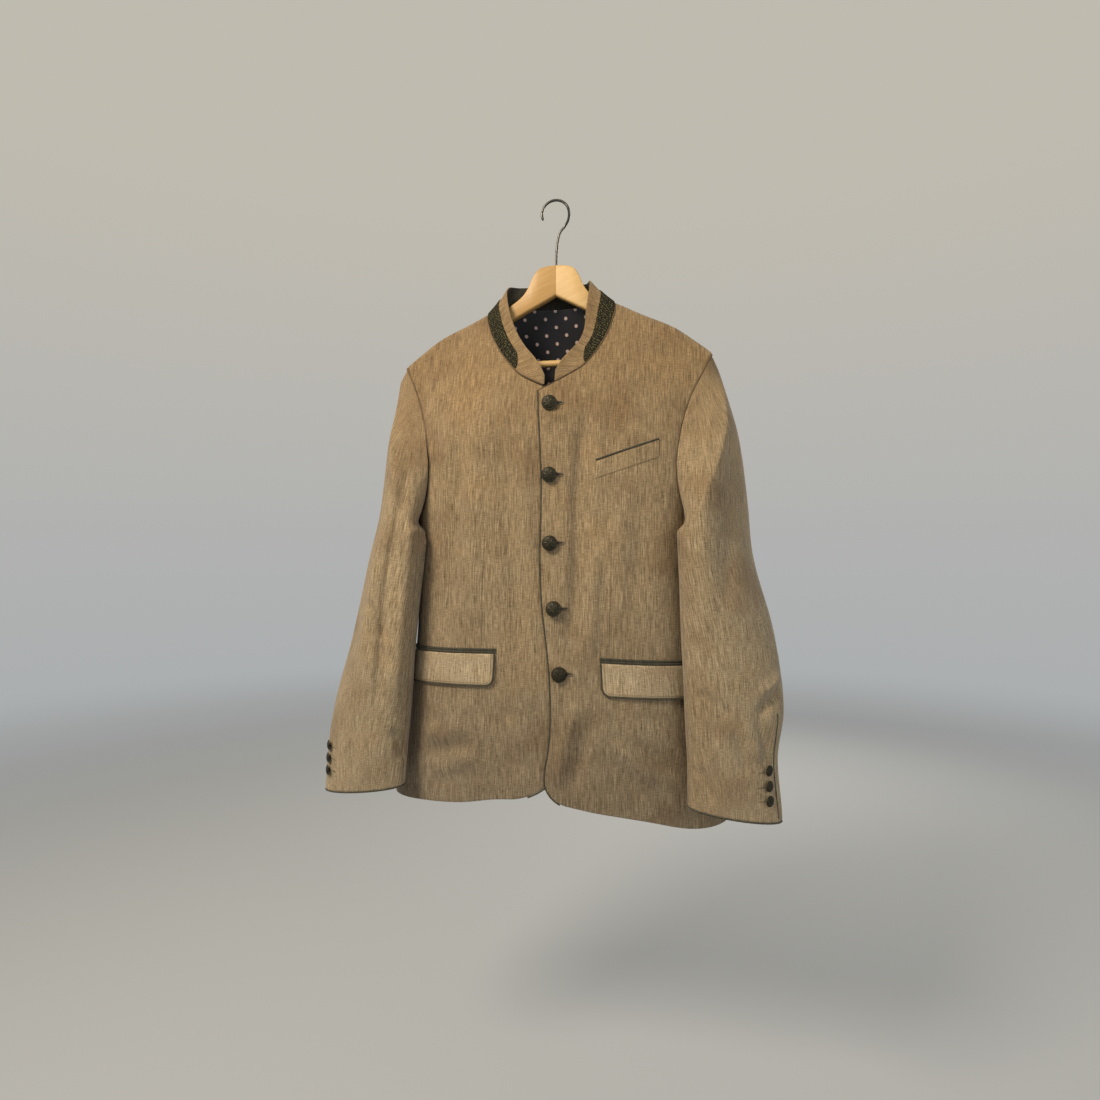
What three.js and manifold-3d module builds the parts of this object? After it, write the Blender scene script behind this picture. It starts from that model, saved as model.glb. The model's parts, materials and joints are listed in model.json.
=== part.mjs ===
// A linen jacket with a stand collar, buttoned, on a contoured wooden hanger.
// Millimetres. +Z is up, -Y is the front, +X is the wearer's left.
// Heights in the tables are measured from the bend of the hook's shank; the whole group then moves
// down by hookRise, so that the origin is at the inner top of the hook, where a rail carries it.
import * as THREE from "three";
import { mergeVertices } from "three/addons/utils/BufferGeometryUtils.js";
import Module from "manifold-3d";

// ---------------------------------------------------------------- driving sizes
const clothThick = 1.6;
const trimThick = 1.2;
const seamGap = 0.3;
const hookRise = 12;

const frontRounding = 200; // how far below the shoulder ridge the chest reaches its full depth
const backRounding = 110;
const ridgeRound = { height: 12, half: 7 }; // the roll of the cloth over the hanger's edge
const sideFrontAngle = 57; // where the front meets the side body, degrees round from the centre front
const sideBackAngle = 130;
const frontLayerDrop = 3.6; // how far the under front lies behind the over front
const sleeveClear = 7.5; // the sleeve hangs this far off the body
const sleeveStartGap = 2.3;
const sleeveHead = { from: -430, to: -370, width: 200 }; // above the armpit only the armhole holds the sleeve out
const underarmFold = 3; // under the arm the sleeve turns down this far off the side body

const colours = {
  linen: 0x9c8560,
  olive: 0x3d3a26,
  inlay: 0x4a4630,
  lining: 0x1d1c20,
  button: 0x3a3220,
  pine: 0xd8b074,
  steel: 0x8a8882,
};

// ---------------------------------------------------------------- tables
// Half widths and depths of the body, a row for each height. square: 2 is an ellipse, more is boxier.
const bodyRows = [
  { z: -900, front: 238, back: 264, depthFront: 78, depthBack: 72, square: 2.4 },
  { z: -850, front: 228, back: 256, depthFront: 80, depthBack: 72, square: 2.5 },
  { z: -760, front: 206, back: 241, depthFront: 84, depthBack: 70, square: 2.9 },
  { z: -650, front: 190, back: 234, depthFront: 86, depthBack: 67, square: 3.3 },
  { z: -560, front: 184, back: 227, depthFront: 84, depthBack: 65, square: 3.5 },
  { z: -455, front: 187, back: 220, depthFront: 80, depthBack: 66, square: 3.5 },
  { z: -383, front: 196, back: 226, depthFront: 77, depthBack: 66, square: 3.3 },
  { z: -300, front: 222, back: 238, depthFront: 72, depthBack: 62, square: 3.1 },
  { z: -230, front: 244, back: 250, depthFront: 66, depthBack: 56, square: 2.9 },
  { z: -100, front: 250, back: 252, depthFront: 60, depthBack: 54, square: 2.8 },
];

// The line over the shoulders, from the middle of the neck outwards.
const ridgeRows = [
  { x: 0, z: -112 },
  { x: 50, z: -123 },
  { x: 90, z: -142 },
  { x: 125, z: -160 },
  { x: 170, z: -182 },
  { x: 200, z: -204 },
  { x: 228, z: -227 },
  { x: 262, z: -262 },
];

// The hem's height round the body: degrees from the centre front, plus is the wearer's left.
const hemRows = [
  { angle: -180, z: -862 },
  { angle: -120, z: -858 },
  { angle: -75, z: -853 },
  { angle: -52, z: -850 },
  { angle: -31, z: -844 },
  { angle: -16, z: -834 },
  { angle: 0, z: -834 },
  { angle: 18, z: -846 },
  { angle: 32, z: -854 },
  { angle: 51, z: -867 },
  { angle: 75, z: -867 },
  { angle: 120, z: -865 },
  { angle: 180, z: -862 },
];

// The centre edge of the front that lies on top.
const overEdgeRows = [
  { z: -840, x: -2 },
  { z: -796, x: -3 },
  { z: -767, x: 2 },
  { z: -736, x: 5 },
  { z: -676, x: 5 },
  { z: -629, x: 1 },
  { z: -569, x: -6 },
  { z: -508, x: -9 },
  { z: -401, x: -8 },
  { z: -277, x: -15 },
];
const underEdgeX = 26;
const overCorner = { across: 30, up: 30 };
const underCorner = { across: 75, up: 85 };

// The neck seam on each front, from the centre edge to the shoulder ridge.
const neckRows = {
  left: [
    { x: -15, z: -277 },
    { x: 9, z: -265 },
    { x: 44, z: -243 },
    { x: 57, z: -229 },
    { x: 73, z: -202 },
    { x: 83, z: -174 },
    { x: 87, z: -141 },
  ],
  right: [
    { x: 26, z: -284 },
    { x: -5, z: -270 },
    { x: -42, z: -249 },
    { x: -57, z: -234 },
    { x: -77, z: -207 },
    { x: -92, z: -177 },
    { x: -98, z: -147 },
  ],
};
const shoulderEnd = 221; // where the shoulder seam meets the sleeve
const backNeckDrop = -143;

// The armhole, from the shoulder tip down the front, under the arm and up the back.
const armholeRows = [
  { x: shoulderEnd, z: -221.5, face: "front" },
  { x: 211, z: -245, face: "front" },
  { x: 199, z: -270, face: "front" },
  { x: 188, z: -298, face: "front" },
  { x: 181, z: -322, face: "front" },
  { x: 176, z: -350, face: "front" },
  { x: 173, z: -383, face: "front" },
  { angle: sideFrontAngle, z: -436 },
  { angle: 70, z: -450 },
  { angle: 90, z: -455 },
  { angle: 112, z: -449 },
  { angle: sideBackAngle, z: -425 },
  { x: 190, z: -383, face: "back" },
  { x: 191, z: -345, face: "back" },
  { x: 196, z: -310, face: "back" },
  { x: 204, z: -275, face: "back" },
  { x: 213, z: -247, face: "back" },
  { x: shoulderEnd, z: -221.5, face: "back" },
];
const armholeFrontRow = 7;
const armholeBackRow = 11;

// Sleeve sections: nearest and farthest from the body, frontmost and rearmost, and the twist.
const sleeveRows = {
  right: [
    { z: -226, inner: 178, outer: 238, front: -36, back: 42, tilt: 6 },
    { z: -290, inner: 168, outer: 239, front: -68, back: 56, tilt: 13 },
    { z: -343, inner: 167, outer: 250.5, front: -84, back: 60, tilt: 19 },
    { z: -426, inner: 171, outer: 265, front: -94, back: 56, tilt: 29 },
    { z: -505, inner: 180, outer: 279, front: -99, back: 42, tilt: 26 },
    { z: -617, inner: 189.5, outer: 296, front: -104, back: 12, tilt: 22 },
    { z: -731, inner: 195, outer: 315, front: -107, back: -24, tilt: 11 },
    { z: -830, inner: 199, outer: 316, front: -108, back: -56, tilt: 4 },
  ],
  left: [
    { z: -226, inner: 178, outer: 226, front: -36, back: 42, tilt: 6 },
    { z: -290, inner: 170, outer: 245, front: -68, back: 56, tilt: 12 },
    { z: -343, inner: 172, outer: 259.5, front: -84, back: 60, tilt: 18 },
    { z: -430, inner: 171, outer: 272.5, front: -94, back: 56, tilt: 30 },
    { z: -505, inner: 175, outer: 278, front: -99, back: 42, tilt: 28 },
    { z: -609, inner: 178, outer: 302, front: -104, back: 12, tilt: 18 },
    { z: -700, inner: 183, outer: 311, front: -107, back: -16, tilt: 12 },
    { z: -762, inner: 186, outer: 301, front: -108, back: -36, tilt: 7 },
    { z: -830, inner: 187, outer: 304.5, front: -108, back: -58, tilt: 4 },
  ],
};
const cuffZ = { right: -825, left: -830 };
const cuffDip = 6; // the outer edge of a cuff hangs this much lower
// The two seams of a sleeve turn forward on the way down: degrees round the sleeve.
const sleeveSeams = { front: [128, 166], back: [-72, -14] };

// The collar from its front end to the centre back: the neck seam (x, z on the body) and the top edge.
const collarRows = {
  right: [
    { seamX: -5, seamZ: -269, x: -6, y: -57, z: -247 },
    { seamX: -42, seamZ: -249, x: -24, y: -46, z: -223 },
    { seamX: -57, seamZ: -234, x: -37, y: -38, z: -207 },
    { seamX: -77, seamZ: -207, x: -53, y: -25, z: -180 },
    { seamX: -92, seamZ: -177, x: -66, y: -14, z: -144 },
    { seamX: -98, seamZ: -148, x: -71, y: 4, z: -108 },
  ],
  left: [
    { seamX: 9, seamZ: -264, x: 10, y: -57, z: -241 },
    { seamX: 44, seamZ: -243, x: 27, y: -46, z: -220 },
    { seamX: 57, seamZ: -229, x: 38, y: -38, z: -206 },
    { seamX: 73, seamZ: -202, x: 45, y: -26, z: -185 },
    { seamX: 83, seamZ: -174, x: 47, y: -15, z: -150 },
    { seamX: 86, seamZ: -143, x: 50, y: 2, z: -106 },
  ],
  back: [
    { x: -72, seamZ: -139, topX: -56, y: 22, z: -103 },
    { x: -6, seamZ: -144, topX: -6, y: 31, z: -102 },
    { x: 62, seamZ: -136, topX: 42, y: 22, z: -103 },
  ],
};
const inlayShare = 0.54;
const collarColumns = 30;
const inlayInset = 3; // columns of the band at each end that the inlay leaves bare

const flapSize = { width: 155, drop: 45, corner: 12, jet: 7 };
const flapRows = {
  right: { startX: -67, z: -635, slope: 0.02 },
  left: { startX: 73, z: -644, slope: 0.04 },
};
const welt = { leftX: 67, leftZ: -374, rightX: 150, rightZ: -346, drop: 26 };
const pipingWidth = 2.2;

const buttonRows = [
  { x: 4, z: -296, tiltX: 0, tiltY: 0 },
  { x: 5, z: -394, tiltX: 0, tiltY: 0 },
  { x: 6.5, z: -486, tiltX: 0, tiltY: 0 },
  { x: 12, z: -574, tiltX: -10, tiltY: 0 },
  { x: 19, z: -660, tiltX: 0, tiltY: 9 },
];
const buttonRadius = 10.5;
const cuffButtonRadius = 7;
const cuffButtonRise = { right: [31, 49, 67], left: [31, 51, 72] };
const cuffButtonTurn = { right: 50, left: 59 }; // degrees forward of the back seam
const cuffButtonSeat = { right: [0.5, 0.5, 0.5], left: [-0.3, 0.3, 0.5] }; // off the smooth sleeve

// Hanger arms: the top and underside of the wood outwards from the mitre.
const armRows = [
  { x: 0.15, top: -78.5, under: -124 },
  { x: 14, top: -80, under: -131.5 },
  { x: 27, top: -85, under: -138.5 },
  { x: 35, top: -97, under: -143 },
  { x: 40, top: -109, under: -145.5 },
  { x: 48, top: -121, under: -150 },
  { x: 60, top: -131.5, under: -156.5 },
  { x: 75, top: -141, under: -164.5 },
  { x: 94, top: -152.4, under: -174.5 },
  { x: 125, top: -165.8, under: -192 },
  { x: 170, top: -186.8, under: -222 },
  { x: 192, top: -202.6, under: -234 },
  { x: 206, top: -214.2, under: -238 },
  { x: 214, top: -224.5, under: -236 },
];
const arm = { thick: 12, sweepFrom: 8, sweep: 0.075, round: 4 };
const bar = { radius: 5, z: -225.5, halfLength: 184 };
const wireRadius = 1.9;
const hookLoop = { radius: 19.9, shankTop: -59 };

// ---------------------------------------------------------------- small maths
const lerp = (a, b, t) => a + (b - a) * t;
const clamp = (t, low, high) => Math.min(high, Math.max(low, t));
const rad = (degrees) => (degrees * Math.PI) / 180;
const sideOf = { left: 1, right: -1 };

// Smooth reading of one column of a table that is sorted by another column.
function column(rows, by, name) {
  const sorted = [...rows].sort((a, b) => a[by] - b[by]);
  return (at) => {
    const last = sorted.length - 1;
    let i = 0;
    while (i < last - 1 && at > sorted[i + 1][by]) i += 1;
    const slope = (k) => {
      const low = sorted[Math.max(k - 1, 0)];
      const high = sorted[Math.min(k + 1, last)];
      return (high[name] - low[name]) / (high[by] - low[by]);
    };
    const a = sorted[i];
    const b = sorted[i + 1];
    const span = b[by] - a[by];
    const t = clamp((at - a[by]) / span, 0, 1);
    const t2 = t * t;
    const t3 = t2 * t;
    return (
      (2 * t3 - 3 * t2 + 1) * a[name] +
      (t3 - 2 * t2 + t) * span * slope(i) +
      (3 * t2 - 2 * t3) * b[name] +
      (t3 - t2) * span * slope(i + 1)
    );
  };
}

// A smooth line through points, read from 0 to 1 by its length.
function line(points, sampleCount = 160) {
  const curve = new THREE.CatmullRomCurve3(points.map((p) => new THREE.Vector3(...p)), false, "centripetal");
  curve.arcLengthDivisions = sampleCount;
  return (t) => curve.getPointAt(clamp(t, 0, 1));
}

// ---------------------------------------------------------------- the body's surface
const body = {
  front: column(bodyRows, "z", "front"),
  back: column(bodyRows, "z", "back"),
  depthFront: column(bodyRows, "z", "depthFront"),
  depthBack: column(bodyRows, "z", "depthBack"),
  square: column(bodyRows, "z", "square"),
};
const ridgeZ = column(ridgeRows, "x", "z");
const ridgeY = (x) => arm.sweepFrom - arm.sweep * Math.abs(x);

// A point of the body: angle 0 is the centre front, 180 the centre back, minus the wearer's right.
function torso(angle, z, out = 0) {
  const n = body.square(z);
  const a = rad(angle);
  const size = (Math.abs(Math.sin(a)) ** n + Math.abs(Math.cos(a)) ** n) ** (1 / n);
  const across = Math.sin(a) / size;
  const along = -Math.cos(a) / size;
  const width = lerp(body.front(z), body.back(z), (along + 1) / 2);
  const x = across * width;
  const below = Math.max(ridgeZ(Math.abs(x)) - z, 0);
  const reach = along < 0 ? frontRounding : backRounding;
  const q = clamp(below / reach, 0, 1);
  const depth = along < 0 ? body.depthFront(z) : body.depthBack(z);
  const roll = Math.sqrt(1 - (1 - clamp(below / ridgeRound.height, 0, 1)) ** 2);
  const fall = 1 - (1 - q) ** 1.6;
  const up = (1 - q) ** 2;
  const y = (ridgeY(x) + Math.sign(along) * ridgeRound.half * roll) * up + along * depth * fall;
  const level = Math.sqrt(1 - up * up);
  return [x + across * out * level, y + along * out * level, z + out * up];
}

// The angle at which the body's front or back has a given x.
function angleOf(x, z, face = "front") {
  const n = body.square(z);
  const sign = face === "front" ? -1 : 1;
  let width = lerp(body.front(z), body.back(z), 0.5);
  let along = 0;
  for (let i = 0; i < 12; i += 1) {
    const across = clamp(Math.abs(x) / width, 0, 0.999);
    along = sign * (1 - across ** n) ** (1 / n);
    width = lerp(body.front(z), body.back(z), (along + 1) / 2);
  }
  const angle = (Math.atan2(Math.abs(x) / width, -along) * 180) / Math.PI;
  return x < 0 ? -angle : angle;
}

// Millimetres of cloth for each degree, and the angle reached by a walk round the body.
function perDegree(angle, z) {
  const a = torso(angle - 0.5, z);
  const b = torso(angle + 0.5, z);
  return Math.hypot(a[0] - b[0], a[1] - b[1]);
}
function walk(startX, z, distance) {
  const steps = 40;
  const side = Math.sign(startX);
  let angle = angleOf(startX, z);
  for (let i = 0; i < steps; i += 1) angle += (side * distance) / steps / perDegree(angle, z);
  return angle;
}

// ---------------------------------------------------------------- closed walls
// A wall from place(u, v, layer): layer 0 is the outer face and 1 the inner face.
function wall(place, countU, countV, spaceU = (u) => u, spaceV = (v) => v) {
  const positions = [];
  const index = [];
  const row = countU + 1;
  const sheet = row * (countV + 1);
  for (let layer = 0; layer < 2; layer += 1) {
    for (let j = 0; j <= countV; j += 1) {
      for (let i = 0; i <= countU; i += 1) {
        positions.push(...place(spaceU(i / countU), spaceV(j / countV), layer));
      }
    }
  }
  const at = (i, j, layer) => layer * sheet + j * row + i;
  const quad = (a, b, c, d) => index.push(a, b, c, a, c, d);
  for (let j = 0; j < countV; j += 1) {
    for (let i = 0; i < countU; i += 1) {
      quad(at(i, j, 0), at(i + 1, j, 0), at(i + 1, j + 1, 0), at(i, j + 1, 0));
      quad(at(i, j, 1), at(i, j + 1, 1), at(i + 1, j + 1, 1), at(i + 1, j, 1));
    }
  }
  for (let i = 0; i < countU; i += 1) {
    quad(at(i, 0, 1), at(i + 1, 0, 1), at(i + 1, 0, 0), at(i, 0, 0));
    quad(at(i, countV, 0), at(i + 1, countV, 0), at(i + 1, countV, 1), at(i, countV, 1));
  }
  for (let j = 0; j < countV; j += 1) {
    quad(at(0, j, 0), at(0, j + 1, 0), at(0, j + 1, 1), at(0, j, 1));
    quad(at(countU, j, 1), at(countU, j + 1, 1), at(countU, j + 1, 0), at(countU, j, 0));
  }
  const geometry = new THREE.BufferGeometry();
  geometry.setAttribute("position", new THREE.Float32BufferAttribute(positions, 3));
  geometry.setIndex(index);
  return faceOut(geometry);
}

// Turns every face of a closed body round if its volume comes out negative.
function faceOut(geometry) {
  const p = geometry.getAttribute("position");
  const index = geometry.getIndex().array;
  const corners = [new THREE.Vector3(), new THREE.Vector3(), new THREE.Vector3()];
  let volume = 0;
  for (let i = 0; i < index.length; i += 3) {
    corners.forEach((corner, k) => corner.fromBufferAttribute(p, index[i + k]));
    volume += corners[0].dot(corners[1].clone().cross(corners[2]));
  }
  if (volume < 0) {
    for (let i = 0; i < index.length; i += 3) [index[i], index[i + 1]] = [index[i + 1], index[i]];
  }
  return geometry;
}

const materials = Object.fromEntries(
  Object.entries(colours).map(([name, color]) => [
    name,
    new THREE.MeshStandardMaterial({
      color,
      roughness: name === "steel" ? 0.35 : 0.85,
      metalness: name === "steel" ? 1 : 0,
    }),
  ]),
);
const jacket = new THREE.Group();
const hanger = new THREE.Group();
function add(group, name, geometry, material) {
  const mesh = new THREE.Mesh(geometry, materials[material]);
  mesh.name = name;
  group.add(mesh);
  return mesh;
}

// ---------------------------------------------------------------- armhole
// Reads the armhole from 0, the shoulder tip, down the front and round to 1, the tip again.
// inset moves the point into the hole; side mirrors it.
const armholePoints = armholeRows.map((r) => [r.angle ?? angleOf(r.x, r.z, r.face), r.z]);
const flatScale = 3.2; // millimetres for each degree near the armhole
const armholeLine = line(armholePoints.map(([angle, z]) => [angle * flatScale, z, 0]), 400);
function armholeShare(rowNumber) {
  let best = 0;
  let bestGap = Infinity;
  for (let t = 0; t <= 1; t += 0.0005) {
    const p = armholeLine(t);
    const gap = Math.hypot(p.x - armholePoints[rowNumber][0] * flatScale, p.y - armholePoints[rowNumber][1]);
    if (gap < bestGap) [best, bestGap] = [t, gap];
  }
  return best;
}
const armholeFront = armholeShare(armholeFrontRow);
const armholeBack = armholeShare(armholeBackRow);
function armhole(t, inset = 0) {
  const p = armholeLine(t);
  const a = armholeLine(t - 0.004);
  const b = armholeLine(t + 0.004);
  const length = Math.hypot(b.x - a.x, b.y - a.y);
  const across = -(b.y - a.y) / length;
  const up = (b.x - a.x) / length;
  return [(p.x + across * inset) / flatScale, p.y + up * inset];
}

// ---------------------------------------------------------------- body panels
// Each panel is worked out in (angle, height) between four edges and then laid on the body.
function panel({ bottom, top, start, end }) {
  return (u, v) => {
    const [b, t, l, r] = [bottom(u), top(u), start(v), end(v)];
    const corners = [bottom(0), bottom(1), top(0), top(1)];
    return [0, 1].map(
      (k) =>
        lerp(b[k], t[k], v) +
        lerp(l[k], r[k], u) -
        lerp(lerp(corners[0][k], corners[1][k], u), lerp(corners[2][k], corners[3][k], u), v),
    );
  };
}
const hemZ = column(hemRows, "angle", "z");
const overEdgeX = column(overEdgeRows, "z", "x");
const halfGapAngle = 0.05;
const sideRows = 7; // rows of facets from the hem to the underarm
const armRowsCount = 7;
const bodyRowCount = sideRows + armRowsCount;
const lowShare = sideRows / bodyRowCount;
// Rows crowd towards the shoulder, where the cloth rolls over the hanger.
function crowdShoulder(v) {
  if (v <= lowShare) return v;
  return lerp(lowShare, 1, 1 - ((1 - v) / (1 - lowShare)) ** 2.2);
}

function centreEdge(side, z) {
  return side === "left" ? overEdgeX(z) + pipingWidth + seamGap : underEdgeX;
}
function cornerLift(side, distance) {
  const { across, up } = side === "left" ? overCorner : underCorner;
  const share = clamp((across - distance) / across, 0, 1);
  return up * (1 - Math.sqrt(1 - share * share));
}
// Signed angle of an armhole point on the given side.
const onSide = (side, [angle, z]) => [sideOf[side] * angle, z];

// Where the straight centre edge ends and the rounded corner begins.
function cornerStart(side) {
  const shape = side === "left" ? overCorner : underCorner;
  let z = hemZ(0) + shape.up;
  let angle = 0;
  for (let i = 0; i < 4; i += 1) {
    angle = angleOf(centreEdge(side, z), z);
    z = hemZ(angle) + shape.up;
  }
  return { angle, z, x: centreEdge(side, z) };
}

function frontPanel(side) {
  const s = sideOf[side];
  const corner = cornerStart(side);
  const hemEnd = s * (sideFrontAngle - halfGapAngle);
  const bottom = (u) => {
    const angle = lerp(corner.angle, hemEnd, u);
    let z = lerp(corner.z, hemZ(angle), Math.min(u * 8, 1));
    for (let i = 0; i < 30; i += 1) {
      const target = hemZ(angle) + cornerLift(side, Math.abs(torso(angle, z)[0] - corner.x));
      z = lerp(z, target, 0.5);
    }
    return [angle, z];
  };
  const neck = neckRows[side].map((r, i) => [i === 0 ? centreEdge(side, r.z) : r.x, r.z, 0]);
  const neckLine = line(neck);
  const neckEnd = neck[neck.length - 1];
  const shoulderStart = 0.36;
  const top = (u) => {
    if (u < shoulderStart) {
      const p = neckLine(u / shoulderStart);
      return [angleOf(p.x, p.y), Math.min(p.y, ridgeZ(Math.abs(p.x)) - 0.012)];
    }
    const x = lerp(Math.abs(neckEnd[0]), shoulderEnd, (u - shoulderStart) / (1 - shoulderStart));
    const z = ridgeZ(x) - 0.012;
    return [s * angleOf(x, z), z];
  };
  const [z0, z1] = [bottom(0)[1], top(0)[1]];
  const start = (v) => {
    const z = lerp(z0, z1, v);
    return [angleOf(centreEdge(side, z), z), z];
  };
  const end = (v) => {
    if (v <= lowShare) return [hemEnd, lerp(hemZ(hemEnd), armhole(armholeFront)[1], v / lowShare)];
    const t = lerp(armholeFront, 0, (v - lowShare) / (1 - lowShare));
    const [angle, z] = armhole(t, -1.2);
    return v === 1 ? top(1) : onSide(side, [angle, z]);
  };
  return panel({ bottom, top, start, end });
}

// The under front lies behind the over front near the centre.
function underDrop(side, angle, z) {
  if (side === "left") return 0;
  const x = torso(angle, z)[0];
  const t = clamp((x - overEdgeX(z) + 50) / 42, 0, 1);
  return -frontLayerDrop * t * t * (3 - 2 * t);
}
function frontPoint(side, angle, z, out) {
  return torso(angle, z, out + underDrop(side, angle, z));
}

function sidePanel(side) {
  const s = sideOf[side];
  const [from, to] = [sideFrontAngle + halfGapAngle, sideBackAngle - halfGapAngle];
  const bottom = (u) => [s * lerp(from, to, u), hemZ(s * lerp(from, to, u))];
  const top = (u) => {
    const [angle, z] = armhole(lerp(armholeFront, armholeBack, u), -0.1);
    return [s * clamp(angle, from, to), z];
  };
  const start = (v) => [s * from, lerp(bottom(0)[1], top(0)[1], v)];
  const end = (v) => [s * to, lerp(bottom(1)[1], top(1)[1], v)];
  return panel({ bottom, top, start, end });
}

function backPanel(side) {
  const s = sideOf[side];
  const [from, to] = [sideBackAngle + halfGapAngle, 180 - halfGapAngle];
  const bottom = (u) => [s * lerp(to, from, u), hemZ(s * lerp(to, from, u))];
  const neckEnd = Math.abs(neckRows[side].at(-1).x);
  const neckShare = 0.36;
  const top = (u) => {
    if (u < neckShare) {
      const t = u / neckShare;
      const x = neckEnd * t;
      const z = lerp(backNeckDrop, ridgeZ(neckEnd) - 0.012, t ** 3);
      return [t === 0 ? s * to : s * angleOf(x, z, "back"), z];
    }
    const x = lerp(neckEnd, shoulderEnd, (u - neckShare) / (1 - neckShare));
    const z = ridgeZ(x) - 0.012;
    return [s * angleOf(x, z, "back"), z];
  };
  const start = (v) => [s * to, lerp(bottom(0)[1], top(0)[1], v)];
  const end = (v) => {
    if (v <= lowShare) return [s * from, lerp(bottom(1)[1], armhole(armholeBack)[1], v / lowShare)];
    if (v === 1) return top(1);
    return onSide(side, armhole(lerp(armholeBack, 1, (v - lowShare) / (1 - lowShare)), -0.1));
  };
  return panel({ bottom, top, start, end });
}

// Columns crowd towards the rounded corner at the centre edge.
const crowdStart = (u) => u * (0.55 + 0.45 * u);

for (const side of ["left", "right"]) {
  const front = frontPanel(side);
  const rows = bodyRowCount;
  add(
    jacket,
    `front_${side}`,
    wall((u, v, layer) => frontPoint(side, ...front(u, v), -layer * clothThick), 14, rows, crowdStart, crowdShoulder),
    "linen",
  );
  const flank = sidePanel(side);
  add(
    jacket,
    `side_${side}`,
    wall((u, v, layer) => torso(...flank(u, v), -layer * clothThick), 6, sideRows),
    "linen",
  );
  const back = backPanel(side);
  add(
    jacket,
    `back_${side}`,
    wall((u, v, layer) => torso(...back(u, v), -layer * clothThick), 9, rows, undefined, crowdShoulder),
    "linen",
  );
}

// ---------------------------------------------------------------- sleeves
// Pushes a point off the body so that the sleeve hangs just clear of it.
function clearOfBody([x, y, z], out) {
  const gap = sleeveClear - out;
  const n = body.square(z);
  let [px, py] = [x, y];
  for (let i = 0; i < 3; i += 1) {
    const depth = (py < 0 ? body.depthFront(z) : body.depthBack(z)) + gap;
    const along = clamp(py / depth, -1, 1);
    const full = lerp(body.front(z), body.back(z), (along + 1) / 2);
    const free = clamp((z - sleeveHead.from) / (sleeveHead.to - sleeveHead.from), 0, 1);
    const width = lerp(full, Math.min(full, sleeveHead.width), free) + gap;
    const size = (Math.abs(px / width) ** n + Math.abs(py / depth) ** n) ** (1 / n);
    if (size < 1) [px, py] = [px / size, py / size];
  }
  return [px, py, z];
}

function sleeve(side) {
  const s = sideOf[side];
  const rows = sleeveRows[side];
  const read = Object.fromEntries(
    ["inner", "outer", "front", "back", "tilt"].map((name) => [name, column(rows, "z", name)]),
  );
  // Where round the armhole each direction of the sleeve starts: 0 the tip, 90 the front, 180 below.
  const startShare = (turn) => {
    const t = ((turn % 360) + 360) % 360;
    const marks = [
      [0, 0],
      [90, armholeFront * 0.82],
      [180, (armholeFront + armholeBack) / 2],
      [270, lerp(armholeBack, 1, 0.18)],
      [360, 1],
    ];
    const k = Math.min(Math.floor(t / 90), 3);
    return lerp(marks[k][1], marks[k + 1][1], t / 90 - k);
  };
  const ring = (turn, z, out) => {
    const a = rad(turn);
    const centreX = (read.inner(z) + read.outer(z)) / 2;
    const halfX = (read.outer(z) - read.inner(z)) / 2 + out;
    const centreY = (read.front(z) + read.back(z)) / 2;
    const halfY = (read.back(z) - read.front(z)) / 2 + out;
    const x = centreX + halfX * Math.cos(a + rad(read.tilt(z)));
    return [x, centreY - halfY * Math.sin(a), z];
  };
  const start = (turn, out) => {
    const share = startShare(turn);
    const [angle, z] = armhole(share, sleeveStartGap);
    const a = rad(turn);
    const inward = Math.min(Math.cos(a), 0);
    const p = torso(angle, Math.min(z, ridgeZ(shoulderEnd) - 0.3), -inward * underarmFold);
    const upward = Math.max(Math.cos(a), 0);
    return [p[0] + out * inward, p[1] - out * Math.sin(a), p[2] + out * upward];
  };
  return (turn, w, out) => {
    const first = start(turn, out);
    const z = lerp(first[2], cuffZ[side] - cuffDip * Math.cos(rad(turn)), w);
    const anchor = clearOfBody(ring(turn, first[2], out), out);
    const here = clearOfBody(ring(turn, z, out), out);
    const sideways = Math.abs(Math.sin(rad(turn)));
    const reach = 22 + 40 * sideways ** (Math.cos(rad(turn)) < 0 ? 12 : 2);
    const fade = 1 - clamp((first[2] - z) / reach, 0, 1);
    const hold = fade * fade * (3 - 2 * fade);
    const x = here[0] + (first[0] - anchor[0]) * hold;
    const y = here[1] + (first[1] - anchor[1]) * hold;
    return [s * x, y, z];
  };
}

const sleeveColumns = 8;
const sleeveLengthRows = 12;
const crowdTop = (w) => w ** 1.3;
for (const side of ["left", "right"]) {
  const point = sleeve(side);
  const frontTurn = (w) => lerp(...sleeveSeams.front, w);
  const backTurn = (w) => lerp(...sleeveSeams.back, w);
  const gapTurn = 0.4;
  const top = (u, v, layer) => {
    const w = crowdTop(v);
    return point(lerp(backTurn(w) + gapTurn, frontTurn(w) - gapTurn, u), w, -layer * clothThick);
  };
  const under = (u, v, layer) => {
    const w = crowdTop(v);
    return point(lerp(frontTurn(w) + gapTurn, backTurn(w) + 360 - gapTurn, u), w, -layer * clothThick);
  };
  add(jacket, `sleeve_top_${side}`, wall(top, sleeveColumns + 4, sleeveLengthRows), "linen");
  add(jacket, `sleeve_under_${side}`, wall(under, sleeveColumns, sleeveLengthRows), "linen");

  const cuff = (u, v, layer) => {
    const turn = lerp(backTurn(1) + 2, backTurn(1) + 358, u);
    const [x, y, z] = point(turn, 1, 0.3 - layer * (clothThick + 0.6));
    return [x, y, z - seamGap - v * pipingWidth];
  };
  add(jacket, `cuff_piping_${side}`, wall(cuff, 20, 1), "olive");
}

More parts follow.
